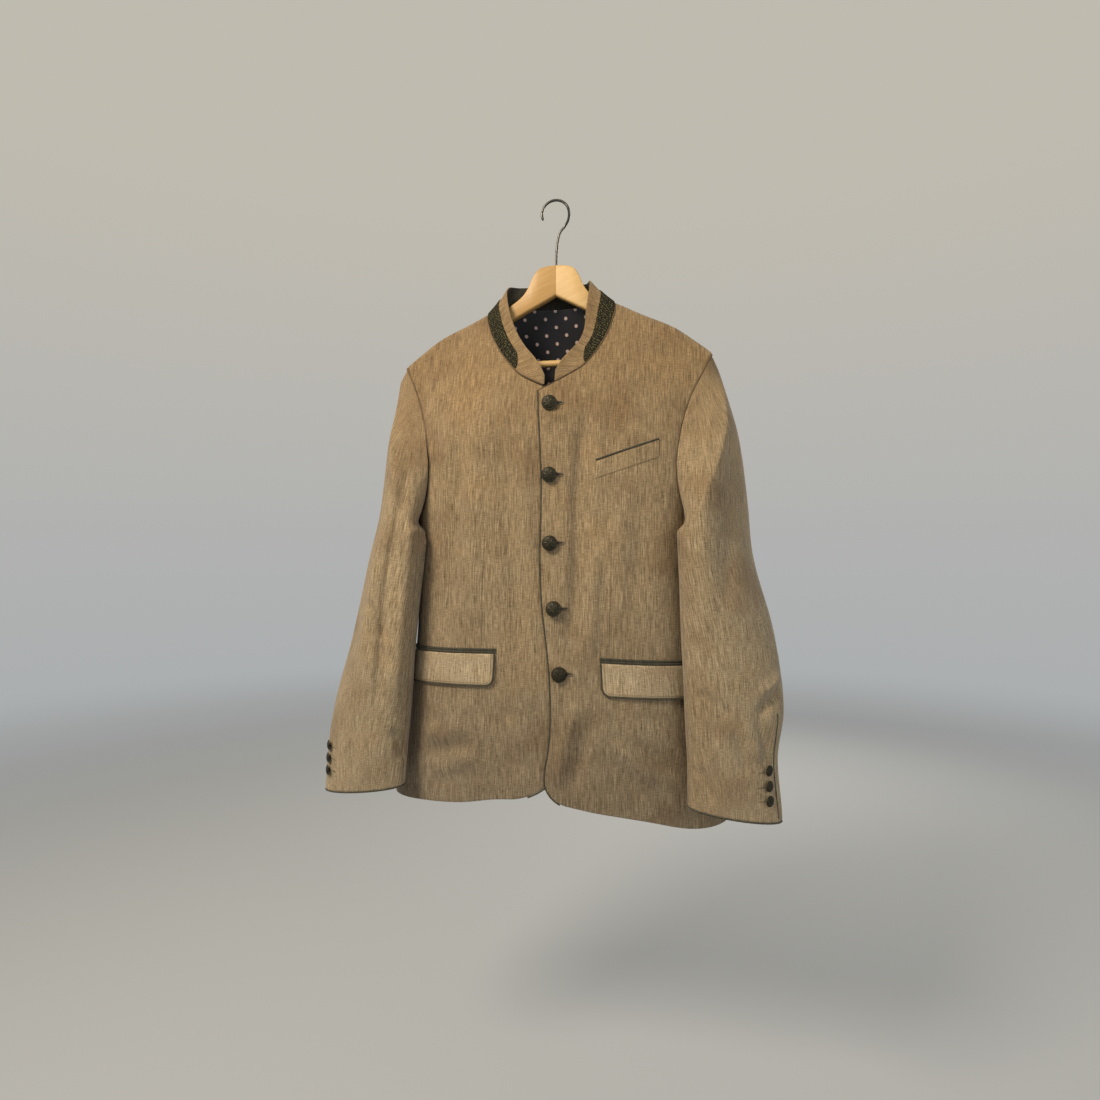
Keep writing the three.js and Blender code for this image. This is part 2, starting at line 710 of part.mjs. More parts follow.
// ---------------------------------------------------------------- collar
const torsoAt = (x, z, face) => torso(angleOf(x, z, face), Math.min(z, ridgeZ(Math.abs(x)) - 0.5));
const collarStations = [
  ...collarRows.right.map((r) => ({ seam: torsoAt(r.seamX, r.seamZ, "front"), top: [r.x, r.y, r.z] })),
  ...collarRows.back.map((r) => ({ seam: torsoAt(r.x, r.seamZ, "back"), top: [r.topX, r.y, r.z] })),
  ...[...collarRows.left]
    .reverse()
    .map((r) => ({ seam: torsoAt(r.seamX, r.seamZ, "front"), top: [r.x, r.y, r.z] })),
];
const collarSeam = new THREE.CatmullRomCurve3(collarStations.map((r) => new THREE.Vector3(...r.seam)));
const collarTop = new THREE.CatmullRomCurve3(collarStations.map((r) => new THREE.Vector3(...r.top)));
const neckCentre = new THREE.Vector3(-6, 0, 0);

// t runs from the wearer's right end round the back to the left end, h from the seam to the top.
function collar(t, h, out) {
  const place = (tt, hh) => collarSeam.getPoint(clamp(tt, 0, 1)).lerp(collarTop.getPoint(clamp(tt, 0, 1)), hh);
  const p = place(t, h);
  const along = place(t + 0.01, h).sub(place(t - 0.01, h));
  const up = place(t, h + 0.1).sub(place(t, h - 0.1));
  const normal = along.cross(up).normalize();
  const outward = p.clone().sub(neckCentre).setZ(0);
  if (normal.dot(outward) < 0) normal.negate();
  return p.addScaledVector(normal, out + 1.2).toArray();
}
const collarFoot = 0.06; // the band starts this share of its height above the seam line
const roundEnd = (t) => 1 - 0.28 * Math.max(0, 1 - Math.min(t, 1 - t) / 0.035) ** 2;
add(
  jacket,
  "collar_band",
  wall((u, v, layer) => collar(u, lerp(collarFoot, roundEnd(u), v), -layer * clothThick), collarColumns, 2),
  "linen",
);
add(
  jacket,
  "collar_facing",
  wall(
    (u, v, layer) =>
      collar(u, lerp(collarFoot, roundEnd(u), v), -clothThick - 2 * seamGap - layer * trimThick),
    collarColumns,
    2,
  ),
  "olive",
);
const inlayEnds = [inlayInset / collarColumns, 1 - inlayInset / collarColumns];
function inlayHeight(u) {
  const rise = clamp(Math.min(u, 1 - u) / 0.09, 0, 1);
  return lerp(0.12, inlayShare, Math.sqrt(1 - (1 - rise) ** 2));
}
add(
  jacket,
  "collar_inlay",
  wall(
    (u, v, layer) =>
      collar(lerp(...inlayEnds, u), lerp(collarFoot - 0.02, inlayHeight(u), v), 0.5 + (1 - layer) * trimThick),
    collarColumns - 2 * inlayInset,
    1,
  ),
  "inlay",
);

// ---------------------------------------------------------------- lining that shows at the neck
const liningInset = clothThick + 4;
add(
  jacket,
  "back_lining",
  wall(
    (u, v, layer) => {
      const x = lerp(-112, 112, u);
      const foot = -340;
      const neckEdge = Math.min(-137, ridgeZ(Math.abs(x)) - 15);
      const z = lerp(foot, neckEdge, v);
      const angle = angleOf(x || 0.001, z, "back");
      return torso(angle, z, -liningInset - layer * trimThick);
    },
    12,
    5,
  ),
  "lining",
);

// ---------------------------------------------------------------- pockets
function pocketAngle(side, distance, z) {
  return walk(flapRows[side].startX, z, distance);
}
for (const side of ["left", "right"]) {
  const { z: topZ, slope } = flapRows[side];
  const { width, drop, corner, jet } = flapSize;
  const level = (distance) => topZ - slope * distance;
  const inner = pipingWidth + 2 * seamGap;
  const lift = (distance) => {
    const radius = corner - inner;
    const near = Math.min(distance, width - distance) - inner;
    const share = clamp((radius - near) / radius, 0, 1);
    return radius * (1 - Math.sqrt(1 - share * share));
  };
  const spread = (u) => 0.5 - 0.5 * Math.cos(Math.PI * u) * (0.45 + 0.55 * Math.abs(Math.cos(Math.PI * u)));
  add(
    jacket,
    `flap_${side}`,
    wall(
      (u, v, layer) => {
        const distance = lerp(inner, width - inner, spread(u));
        const foot = level(distance) - drop + inner + lift(distance);
        const z = lerp(level(distance) - seamGap, foot, v);
        return torso(pocketAngle(side, distance, topZ), z, 2.4 - layer * 1.6);
      },
      12,
      3,
    ),
    "linen",
  );
  add(
    jacket,
    `jet_${side}`,
    wall(
      (u, v, layer) => {
        const distance = u * width;
        return torso(pocketAngle(side, distance, topZ), level(distance) + v * jet, 2.1 - layer * 1.3);
      },
      12,
      1,
    ),
    "olive",
  );
  // The piping runs down one end of the flap, along its foot and up the other end.
  const edge = (u, widen) => {
    const share = u * (width + 2 * drop);
    const sideRun = drop - corner;
    const arc = (corner * Math.PI) / 2;
    const flat = width - 2 * corner;
    const total = 2 * (sideRun + arc) + flat;
    let along = (share / (width + 2 * drop)) * total;
    const mirrored = along > total / 2;
    if (mirrored) along = total - along;
    let [d, fall] = [0, 0];
    if (along < sideRun) [d, fall] = [widen, along];
    else if (along < sideRun + arc) {
      const a = (along - sideRun) / corner;
      d = corner - (corner - widen) * Math.cos(a);
      fall = sideRun + (corner - widen) * Math.sin(a);
    } else [d, fall] = [corner + along - sideRun - arc, drop - widen];
    return [mirrored ? width - d : d, fall];
  };
  add(
    jacket,
    `flap_piping_${side}`,
    wall(
      (u, v, layer) => {
        const [distance, fall] = edge(u, v * pipingWidth);
        return torso(pocketAngle(side, distance, topZ), level(distance) - seamGap - fall, 2.8 - layer * 2);
      },
      26,
      1,
    ),
    "olive",
  );
}

const weltPoint = (u, fall, out) => {
  const x = lerp(welt.leftX, welt.rightX, u);
  const z = lerp(welt.leftZ, welt.rightZ, u) - fall;
  return torso(angleOf(x, z), z, out);
};
add(
  jacket,
  "breast_welt",
  wall((u, v, layer) => weltPoint(u, lerp(pipingWidth + seamGap, welt.drop, v), 1.6 - layer * 1.2), 6, 2),
  "linen",
);
add(
  jacket,
  "breast_piping",
  wall((u, v, layer) => weltPoint(u, v * pipingWidth, 2 - layer * 1.6), 6, 1),
  "olive",
);

// ---------------------------------------------------------------- front edge pipings
const cornerSteps = 9;
function edgePiping(side) {
  const s = sideOf[side];
  const shape = side === "left" ? overCorner : underCorner;
  const corner = cornerStart(side);
  const foot = corner.z;
  const head = neckRows[side][0].z;
  const cornerShare = cornerSteps / (cornerSteps + bodyRowCount);
  return (u, v) => {
    const widen = v * pipingWidth;
    if (u > cornerShare - 1e-6) {
      const z = lerp(foot, head, crowdShoulder((u - cornerShare) / (1 - cornerShare)));
      const x = centreEdge(side, z) - s * (seamGap + widen);
      return [angleOf(x, z), z];
    }
    const a = (1 - u / cornerShare) * rad(72);
    const x = corner.x + s * (shape.across - (shape.across + seamGap + widen) * Math.cos(a));
    let z = foot - shape.up * Math.sin(a);
    for (let i = 0; i < 4; i += 1) {
      z = hemZ(angleOf(x, z)) + shape.up - (shape.up + seamGap + widen) * Math.sin(a);
    }
    return [angleOf(x, z), z];
  };
}
for (const side of ["left", "right"]) {
  const place = edgePiping(side);
  add(
    jacket,
    `edge_piping_${side}`,
    wall((u, v, layer) => frontPoint(side, ...place(u, v), 0.2 - layer * (clothThick + 0.3)), cornerSteps + bodyRowCount, 1),
    "olive",
  );
}

// ---------------------------------------------------------------- buttons
// Domed metal buttons on a shank, turned about their own axis.
function buttonGeometry(radius) {
  const dome = radius * 0.42;
  const shank = radius * 0.26;
  const stand = radius * 0.3;
  const profile = [
    [0, 0],
    [shank, 0],
    [shank, stand],
    [radius * 0.9, stand + radius * 0.06],
    [radius, stand + radius * 0.16],
    [radius * 0.86, stand + dome * 0.72],
    [radius * 0.45, stand + dome],
    [0, stand + dome * 1.12],
  ];
  const points = profile.map(([r, y]) => new THREE.Vector2(r, y));
  const lathe = new THREE.LatheGeometry(points, radius > 8 ? 14 : 10);
  lathe.deleteAttribute("normal");
  lathe.deleteAttribute("uv");
  return faceOut(mergeVertices(lathe, 1e-3));
}
function seat(mesh, at, ahead) {
  const normal = new THREE.Vector3(...ahead).sub(new THREE.Vector3(...at)).normalize();
  mesh.quaternion.setFromUnitVectors(new THREE.Vector3(0, 1, 0), normal);
  mesh.position.set(...at).addScaledVector(normal, seamGap);
  return mesh;
}
buttonRows.forEach((row, i) => {
  const angle = angleOf(row.x, row.z);
  const mesh = add(jacket, `button_${i + 1}`, buttonGeometry(buttonRadius), "button");
  seat(mesh, torso(angle, row.z, 0.45), torso(angle, row.z, 12));
  mesh.rotateX(rad(row.tiltX));
  mesh.rotateZ(rad(row.tiltY));
});
for (const side of ["left", "right"]) {
  const point = sleeve(side);
  cuffButtonRise[side].forEach((rise, i) => {
    const w = 1 - rise / (armholeRows[0].z - cuffZ[side]);
    const turn = lerp(...sleeveSeams.back, w) + cuffButtonTurn[side];
    const mesh = add(jacket, `cuff_button_${side}_${i + 1}`, buttonGeometry(cuffButtonRadius), "button");
    seat(mesh, point(turn, w, cuffButtonSeat[side][i]), point(turn, w, 6));
  });
}

// ---------------------------------------------------------------- hanger
const wasm = await Module();
wasm.setup();
function toSolid(geometry) {
  const merged = mergeVertices(geometry, 1e-4);
  return new wasm.Manifold(
    new wasm.Mesh({
      numProp: 3,
      vertProperties: new Float32Array(merged.getAttribute("position").array),
      triVerts: new Uint32Array(merged.getIndex().array),
    }),
  );
}
function fromSolid(solid) {
  const mesh = solid.getMesh();
  const geometry = new THREE.BufferGeometry();
  geometry.setAttribute("position", new THREE.BufferAttribute(new Float32Array(mesh.vertProperties), 3));
  geometry.setIndex(new THREE.BufferAttribute(new Uint32Array(mesh.triVerts), 1));
  return geometry;
}

// A tube of rings: each ring is a list of points, closed at both ends by a fan.
function rings(list) {
  const positions = list.flat(2);
  const count = list[0].length;
  const index = [];
  for (let j = 0; j < list.length - 1; j += 1) {
    for (let i = 0; i < count; i += 1) {
      const a = j * count + i;
      const b = j * count + ((i + 1) % count);
      index.push(a, b, b + count, a, b + count, a + count);
    }
  }
  const lastRing = (list.length - 1) * count;
  for (let i = 1; i < count - 1; i += 1) {
    index.push(0, i + 1, i);
    index.push(lastRing, lastRing + i, lastRing + i + 1);
  }
  const geometry = new THREE.BufferGeometry();
  geometry.setAttribute("position", new THREE.Float32BufferAttribute(positions, 3));
  geometry.setIndex(index);
  return faceOut(geometry);
}

function barGeometry(radius, halfLength) {
  const y = ridgeY(175);
  const geometry = new THREE.CylinderGeometry(radius, radius, 2 * halfLength, 16);
  geometry.deleteAttribute("normal");
  geometry.deleteAttribute("uv");
  geometry.rotateZ(Math.PI / 2);
  geometry.translate(0, y, bar.z);
  return faceOut(mergeVertices(geometry, 1e-4));
}

// A section of an arm is a rounded oblong, upright, square to the sweep.
function armSection(s, { x, top, under }) {
  const y = ridgeY(x);
  const half = arm.thick / 2;
  const middle = (top + under) / 2;
  const high = (top - under) / 2;
  const r = Math.min(arm.round, high * 0.8);
  const points = [];
  for (let corner = 0; corner < 4; corner += 1) {
    for (let k = 0; k <= 2; k += 1) {
      const a = rad(90 * corner + 45 * k);
      const cy = (corner === 0 || corner === 3 ? 1 : -1) * (half - r);
      const cz = (corner < 2 ? 1 : -1) * (high - r);
      points.push([s * x, y + cy + r * Math.cos(a), middle + cz + r * Math.sin(a)]);
    }
  }
  return points;
}
for (const side of ["left", "right"]) {
  const wood = toSolid(rings(armRows.map((row) => armSection(sideOf[side], row))));
  const socket = toSolid(barGeometry(bar.radius + seamGap, bar.halfLength + seamGap));
  add(hanger, `hanger_arm_${side}`, fromSolid(wood.subtract(socket)), "pine");
}
add(hanger, "hanger_bar", barGeometry(bar.radius, bar.halfLength), "pine");

function hookPath() {
  const { radius, shankTop } = hookLoop;
  const y = arm.sweepFrom;
  const centreZ = hookRise - radius + wireRadius;
  const points = [
    [0, y, armRows[0].top + seamGap],
    [0, y, lerp(armRows[0].top, shankTop, 0.6)],
    [0.4, y, shankTop],
    [2.4, y, -42],
    [6, y, -30],
  ];
  for (let a = -48; a <= 205; a += 23) {
    points.push([radius * Math.cos(rad(a)), y * (1 - clamp((a + 48) / 60, 0, 1)), centreZ + radius * Math.sin(rad(a))]);
  }
  return new THREE.CatmullRomCurve3(points.map((p) => new THREE.Vector3(...p)), false, "centripetal");
}
const wireSides = 8;
const wirePoint = (_, i) => {
  const a = (i / wireSides) * 2 * Math.PI;
  return new THREE.Vector2(wireRadius * Math.cos(a), wireRadius * Math.sin(a));
};
const wire = new THREE.Shape(Array.from({ length: wireSides }, wirePoint));
const hookGeometry = new THREE.ExtrudeGeometry(wire, {
  steps: 44,
  bevelEnabled: false,
  extrudePath: hookPath(),
});
hookGeometry.deleteAttribute("normal");
hookGeometry.deleteAttribute("uv");
add(hanger, "hanger_hook", faceOut(mergeVertices(hookGeometry, 1e-3)), "steel");

const all = new THREE.Group();
all.add(jacket, hanger);
all.position.z = -hookRise;
export default all;
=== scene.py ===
# %% [markdown]
# # A linen jacket on a wooden hanger
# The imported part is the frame. Each cell rebuilds some of its nodes finer and softer on the same
# form: first the shapes that cloth lies on, then the folds, the cloth, the trim, the hanger, and
# last the light. Tables are in millimetres from a level 12 mm below the inner top of the hook, and
# every mesh moves down by that much when it is made. -Y is the front and +X the wearer's left.

import json
import math
from functools import partial

import bpy
import numpy as np
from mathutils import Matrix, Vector

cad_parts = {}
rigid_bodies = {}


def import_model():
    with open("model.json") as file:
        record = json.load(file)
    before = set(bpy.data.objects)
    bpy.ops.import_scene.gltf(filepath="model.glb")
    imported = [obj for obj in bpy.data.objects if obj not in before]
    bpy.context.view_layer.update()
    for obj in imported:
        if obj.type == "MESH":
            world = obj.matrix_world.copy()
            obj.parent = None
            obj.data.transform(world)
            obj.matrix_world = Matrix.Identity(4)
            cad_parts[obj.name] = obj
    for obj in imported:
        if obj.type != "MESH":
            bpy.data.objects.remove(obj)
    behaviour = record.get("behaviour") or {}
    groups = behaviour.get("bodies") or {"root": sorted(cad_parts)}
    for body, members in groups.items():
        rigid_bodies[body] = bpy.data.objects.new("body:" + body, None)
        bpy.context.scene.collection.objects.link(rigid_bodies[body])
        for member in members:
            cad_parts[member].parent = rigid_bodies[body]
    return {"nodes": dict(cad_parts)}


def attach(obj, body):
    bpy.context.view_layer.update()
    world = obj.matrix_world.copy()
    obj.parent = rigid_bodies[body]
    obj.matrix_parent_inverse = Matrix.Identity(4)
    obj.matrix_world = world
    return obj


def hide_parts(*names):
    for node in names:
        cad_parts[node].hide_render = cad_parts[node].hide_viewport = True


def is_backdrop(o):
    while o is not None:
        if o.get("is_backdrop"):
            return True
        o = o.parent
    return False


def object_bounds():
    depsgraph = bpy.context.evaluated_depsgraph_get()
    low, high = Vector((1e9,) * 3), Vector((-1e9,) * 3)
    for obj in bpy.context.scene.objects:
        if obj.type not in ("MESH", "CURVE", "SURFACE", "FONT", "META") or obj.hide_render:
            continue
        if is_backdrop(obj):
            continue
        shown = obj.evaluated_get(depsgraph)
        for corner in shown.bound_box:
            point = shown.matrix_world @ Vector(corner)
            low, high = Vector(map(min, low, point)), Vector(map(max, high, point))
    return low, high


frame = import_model()


def write_size():
    low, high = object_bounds()
    return [round(v, 3) for v in high - low]


print("frame loaded:", len(frame["nodes"]), "nodes, size", write_size())

# %% [markdown]
# ## Sizes and tables
# The same driving sizes as the part. `rows` turns a short table into one array for each column.

# %% tables
CLOTH = 1.6  # thickness of a cloth wall
HOOK_RISE = 12.0  # from the tables' zero up to the inner top of the hook
PIPING = 2.2  # width of a piped edge
SEAM = 0.3  # gap between two pieces
SIDES = {"left": 1, "right": -1}


def rows(names, *table):
    return dict(zip(names.split(), np.array(table, float).T))


# sections of the body: half widths and depths in front and behind, and how square it is
BODY = rows(
    "z front back depth_front depth_back square",
    (-900, 238, 264, 78, 72, 2.4),
    (-850, 228, 256, 80, 72, 2.5),
    (-760, 206, 241, 84, 70, 2.9),
    (-650, 190, 234, 86, 67, 3.3),
    (-560, 184, 227, 84, 65, 3.5),
    (-455, 187, 220, 80, 66, 3.5),
    (-383, 196, 226, 77, 66, 3.3),
    (-300, 222, 238, 72, 62, 3.1),
    (-230, 244, 250, 66, 56, 2.9),
    (-100, 250, 252, 60, 54, 2.8),
)
# the line over the shoulders
RIDGE = rows(
    "x z",
    (0, -112),
    (50, -123),
    (90, -142),
    (125, -160),
    (170, -182),
    (200, -204),
    (228, -227),
    (262, -262),
)
# the hem, by the angle round the body
HEM = rows(
    "angle z",
    (-180, -862),
    (-120, -858),
    (-75, -853),
    (-52, -850),
    (-31, -844),
    (-16, -834),
    (0, -834),
    (18, -846),
    (32, -854),
    (51, -867),
    (75, -867),
    (120, -865),
    (180, -862),
)
# the edge of the front that lies on top
OVER_EDGE = rows(
    "z x",
    (-840, -2),
    (-796, -3),
    (-767, 2),
    (-736, 5),
    (-676, 5),
    (-629, 1),
    (-569, -6),
    (-508, -9),
    (-401, -8),
    (-277, -15),
)
# x and z along the neck line, from the front edge to the shoulder
NECK = {
    "left": [(-15, -277), (9, -265), (44, -243), (57, -229), (73, -202), (83, -174), (87, -141)],
    "right": [(26, -284), (-5, -270), (-42, -249), (-57, -234), (-77, -207), (-92, -177), (-98, -147)],
}
UNDER_EDGE_X = 26
CORNERS = {"left": (30, 30), "right": (75, 85)}  # rounding of the front corners: across, up
SIDE_FRONT, SIDE_BACK = 57, 130  # angles of the side body's two seams
SEAM_HALF = 0.05  # half the gap at those seams, in degrees
FRONT_ROUNDING, BACK_ROUNDING = 200, 110  # the body has its full depth this far under the ridge
RIDGE_ROLL, RIDGE_HALF = 12, 7  # height and half width of the fold over the shoulders
RIDGE_GAP = 0.012  # the panels end this far under the ridge
NECK_SHARE = 0.36  # the neck line's share of a panel's top edge
FRONT_LAYER_DROP = 3.6  # the under front lies this much further in
BACK_NECK = -143  # height of the neck edge at the centre back
SLEEVE_CLEAR = 7.5  # between the body and a sleeve
SHOULDER_END = 221
ARM_SCALE = 3.2  # millimetres for a degree, in lengths along the armhole

# x and z on the front, then angle and z under the arm, then x and z on the back
ARMHOLE_FRONT = [(221, -221.5), (211, -245), (199, -270), (188, -298), (181, -322), (176, -350), (173, -383)]
ARMHOLE_UNDER = [(SIDE_FRONT, -436), (70, -450), (90, -455), (112, -449), (SIDE_BACK, -425)]
ARMHOLE_BACK = [(190, -383), (191, -345), (196, -310), (204, -275), (213, -247), (221, -221.5)]

SLEEVE = {
    "right": rows(
        "z inner outer front back tilt",
        (-226, 178, 238, -36, 42, 6),
        (-290, 168, 239, -68, 56, 13),
        (-343, 167, 250.5, -84, 60, 19),
        (-426, 171, 265, -94, 56, 29),
        (-505, 180, 279, -99, 42, 26),
        (-617, 189.5, 296, -104, 12, 22),
        (-731, 195, 315, -107, -24, 11),
        (-830, 199, 316, -108, -56, 4),
    ),
    "left": rows(
        "z inner outer front back tilt",
        (-226, 178, 226, -36, 42, 6),
        (-290, 170, 245, -68, 56, 12),
        (-343, 172, 259.5, -84, 60, 18),
        (-430, 171, 272.5, -94, 56, 30),
        (-505, 175, 278, -99, 42, 28),
        (-609, 178, 302, -104, 12, 18),
        (-700, 183, 311, -107, -16, 12),
        (-762, 186, 301, -108, -36, 7),
        (-830, 187, 304.5, -108, -58, 4),
    ),
}
SLEEVE_TOP, CUFF_Z = -227, {"right": -825, "left": -830}
CUFF_DIP = 6  # the cuff is this much lower on the outside
SEAM_TURNS = {"front": (128, 166), "back": (-72, -14)}  # degrees at the armhole and the cuff

# x and z on the seam, then x, y and z on the top edge
COLLAR_RIGHT = [
    ((-5, -269), (-6, -57, -247)),
    ((-42, -249), (-24, -46, -223)),
    ((-57, -234), (-37, -38, -207)),
    ((-77, -207), (-53, -25, -180)),
    ((-92, -177), (-66, -14, -144)),
    ((-98, -148), (-71, 4, -108)),
]
COLLAR_BACK = [((-72, -139), (-56, 22, -103)), ((-6, -144), (-6, 31, -102)), ((62, -136), (42, 22, -103))]
COLLAR_LEFT = [
    ((9, -264), (10, -57, -241)),
    ((44, -243), (27, -46, -220)),
    ((57, -229), (38, -38, -206)),
    ((73, -202), (45, -26, -185)),
    ((83, -174), (47, -15, -150)),
    ((86, -143), (50, 2, -106)),
]

FLAP = {"width": 155, "drop": 45, "corner": 12, "lift": 0.9}  # lift: how far its foot stands off
FLAP_AT = {"right": (-67, -635, 0.02), "left": (73, -644, 0.04)}  # start x, z, slope
WELT = {"left": (67, -374), "right": (150, -346), "drop": 26}
# x, z and two tilts in degrees
BUTTONS = [(4, -296, 0, 0), (5, -394, 0, 0), (6.5, -486, 0, 0), (12, -574, -10, 0), (19, -660, 0, 9)]
CUFF_RISE = {"right": (31, 49, 67), "left": (31, 51, 72)}  # buttons above the cuff
BUTTON_TURN = {"right": 50, "left": 59}  # degrees forward of the back seam
collar_rows = len(COLLAR_RIGHT) + len(COLLAR_BACK) + len(COLLAR_LEFT)
print("tables read:", len(BODY["z"]), "body rows,", collar_rows, "collar rows")

# %% [markdown]
# ## Reading the tables
# `column` reads a table smoothly at any height, and `spline` draws a smooth line through points.


# %% small maths
def lerp(a, b, t):
    return a + (b - a) * t


def smooth(t, low=0.0, high=1.0):
    t = np.clip((t - low) / (high - low), 0, 1)
    return t * t * (3 - 2 * t)


def column(table, by, name):
    order = np.argsort(table[by])
    at, value = table[by][order], table[name][order]
    last = len(at) - 1
    low, high = np.maximum(np.arange(last + 1) - 1, 0), np.minimum(np.arange(last + 1) + 1, last)
    slope = (value[high] - value[low]) / (at[high] - at[low])

    def read(x):
        x = np.asarray(x, float)
        i = np.clip(np.searchsorted(at, x) - 1, 0, last - 1)
        span = at[i + 1] - at[i]
        t = np.clip((x - at[i]) / span, 0, 1)
        a = (2 * t**3 - 3 * t**2 + 1) * value[i] + (t**3 - 2 * t**2 + t) * span * slope[i]
        return a + (3 * t**2 - 2 * t**3) * value[i + 1] + (t**3 - t**2) * span * slope[i + 1]

    return read


def spline(points):
    p = np.array(points, float)
    p = np.vstack([2 * p[0] - p[1], p, 2 * p[-1] - p[-2]])
    gap = np.maximum(np.sum(np.diff(p, axis=0) ** 2, axis=1) ** 0.25, 1e-4)

    def read(t):
        t = np.clip(np.asarray(t, float), 0, 1) * (len(p) - 3)
        i = np.minimum(t.astype(int), len(p) - 4)
        t = (t - i)[..., None]
        a, b, c, d = p[i], p[i + 1], p[i + 2], p[i + 3]
        g0, g1, g2 = gap[i][..., None], gap[i + 1][..., None], gap[i + 2][..., None]
        m1 = ((b - a) / g0 - (c - a) / (g0 + g1) + (c - b) / g1) * g1
        m2 = ((c - b) / g1 - (d - b) / (g1 + g2) + (d - c) / g2) * g1
        return b + m1 * t + (3 * (c - b) - 2 * m1 - m2) * t**2 + (2 * (b - c) + m1 + m2) * t**3

    return read


def by_length(points, count=1500):
    fine = spline(points)(np.linspace(0, 1, count))
    run = np.concatenate([[0], np.cumsum(np.linalg.norm(np.diff(fine, axis=0), axis=1))])

    def read(t):
        at = np.clip(np.asarray(t, float), 0, 1) * run[-1]
        return np.stack([np.interp(at, run, fine[:, k]) for k in range(fine.shape[1])], -1)

    return read


body_front, body_back, depth_front, depth_back, squareness = (
    column(BODY, "z", name) for name in ("front", "back", "depth_front", "depth_back", "square")
)
ridge_z = column(RIDGE, "x", "z")
hem_z = column(HEM, "angle", "z")
over_edge_x = column(OVER_EDGE, "z", "x")


def ridge_y(x):
    return 8 - 0.075 * np.abs(x)


print("the shoulder ridge at x 200 is at z", float(ridge_z(200)))

# %% [markdown]
# ## Folds
# A fold is a depth, a half width and a line across the cloth. Troughs are negative and ridges
# positive; each fades at its ends. The back and the far sides have quieter ones of the same kind.

# %% folds
FOLD_DEPTH = 1.9  # times the depths in the tables
FRONT_FOLDS = [
    (-3.4, 13, [(-128, -300), (-128, -398), (-131, -454), (-135, -509), (-141, -571), (-147, -640)]),
    (2.4, 13, [(-104, -360), (-101, -454), (-101, -522), (-106, -615)]),
    (-3.8, 14, [(-66, -300), (-60, -400), (-53, -468), (-47, -529), (-39, -590), (-28, -690)]),
    (2.2, 11, [(-38, -285), (-27, -400), (-22, -509), (-16, -610)]),
    (-1.8, 10, [(-166, -290), (-163, -384), (-166, -500)]),
    (-2.6, 22, [(-62, -690), (-52, -750), (-36, -815)]),
    (2.2, 14, [(-186, -752), (-142, -748), (-98, -728)]),
    (-1.7, 11, [(-186, -778), (-138, -771), (-92, -756)]),
    (1.6, 13, [(-184, -802), (-132, -792), (-82, -768)]),
    (-1.1, 11, [(-176, -824), (-134, -812), (-92, -794)]),
    (1.0, 12, [(-160, -722), (-122, -712), (-88, -700)]),
    (-4.6, 12, [(58, -262), (51, -348), (44, -428), (46, -495), (42, -562), (33, -618), (17, -668)]),
    (2.6, 10, [(70, -470), (66, -530), (62, -590), (58, -650)]),
    (-1.5, 14, [(90, -285), (87, -345), (95, -400)]),
    (-1.6, 15, [(127, -395), (129, -482), (120, -575)]),
    (1.5, 14, [(100, -420), (98, -500), (92, -600)]),
    (2.8, 10, [(42, -690), (29, -743), (12, -818)]),
    (-2.4, 11, [(66, -705), (51, -762), (34, -830)]),
    (2.8, 7.5, [(84, -744), (115, -772), (150, -812)]),
    (-2.0, 7, [(78, -764), (106, -794), (132, -838)]),
    (-2.0, 7, [(112, -738), (142, -766), (176, -800)]),
    (1.8, 8, [(140, -722), (170, -752), (195, -786)]),
    (1.2, 5, [(-20, -300), (20, -315), (40, -345)]),
]
BACK_FOLDS = [
    (-3.2, 16, [(-120, -330), (-112, -450), (-106, -560), (-112, -700)]),
    (-2.8, 15, [(112, -340), (118, -450), (110, -580), (104, -720)]),
    (2.2, 15, [(-78, -380), (-70, -500), (-74, -640)]),
    (2.0, 15, [(70, -360), (76, -480), (68, -640)]),
    (-2.2, 12, [(-170, -400), (-160, -500), (-166, -640)]),
    (-2.0, 12, [(168, -410), (160, -520), (170, -660)]),
    (-1.6, 20, [(-60, -175), (0, -190), (60, -175)]),
    (1.8, 9, [(-140, -752), (-95, -742), (-60, -726)]),
    (-1.8, 8, [(-150, -776), (-100, -764), (-58, -746)]),
    (2.0, 9, [(60, -748), (100, -768), (140, -800)]),
    (-1.6, 8, [(70, -776), (110, -796), (150, -826)]),
]
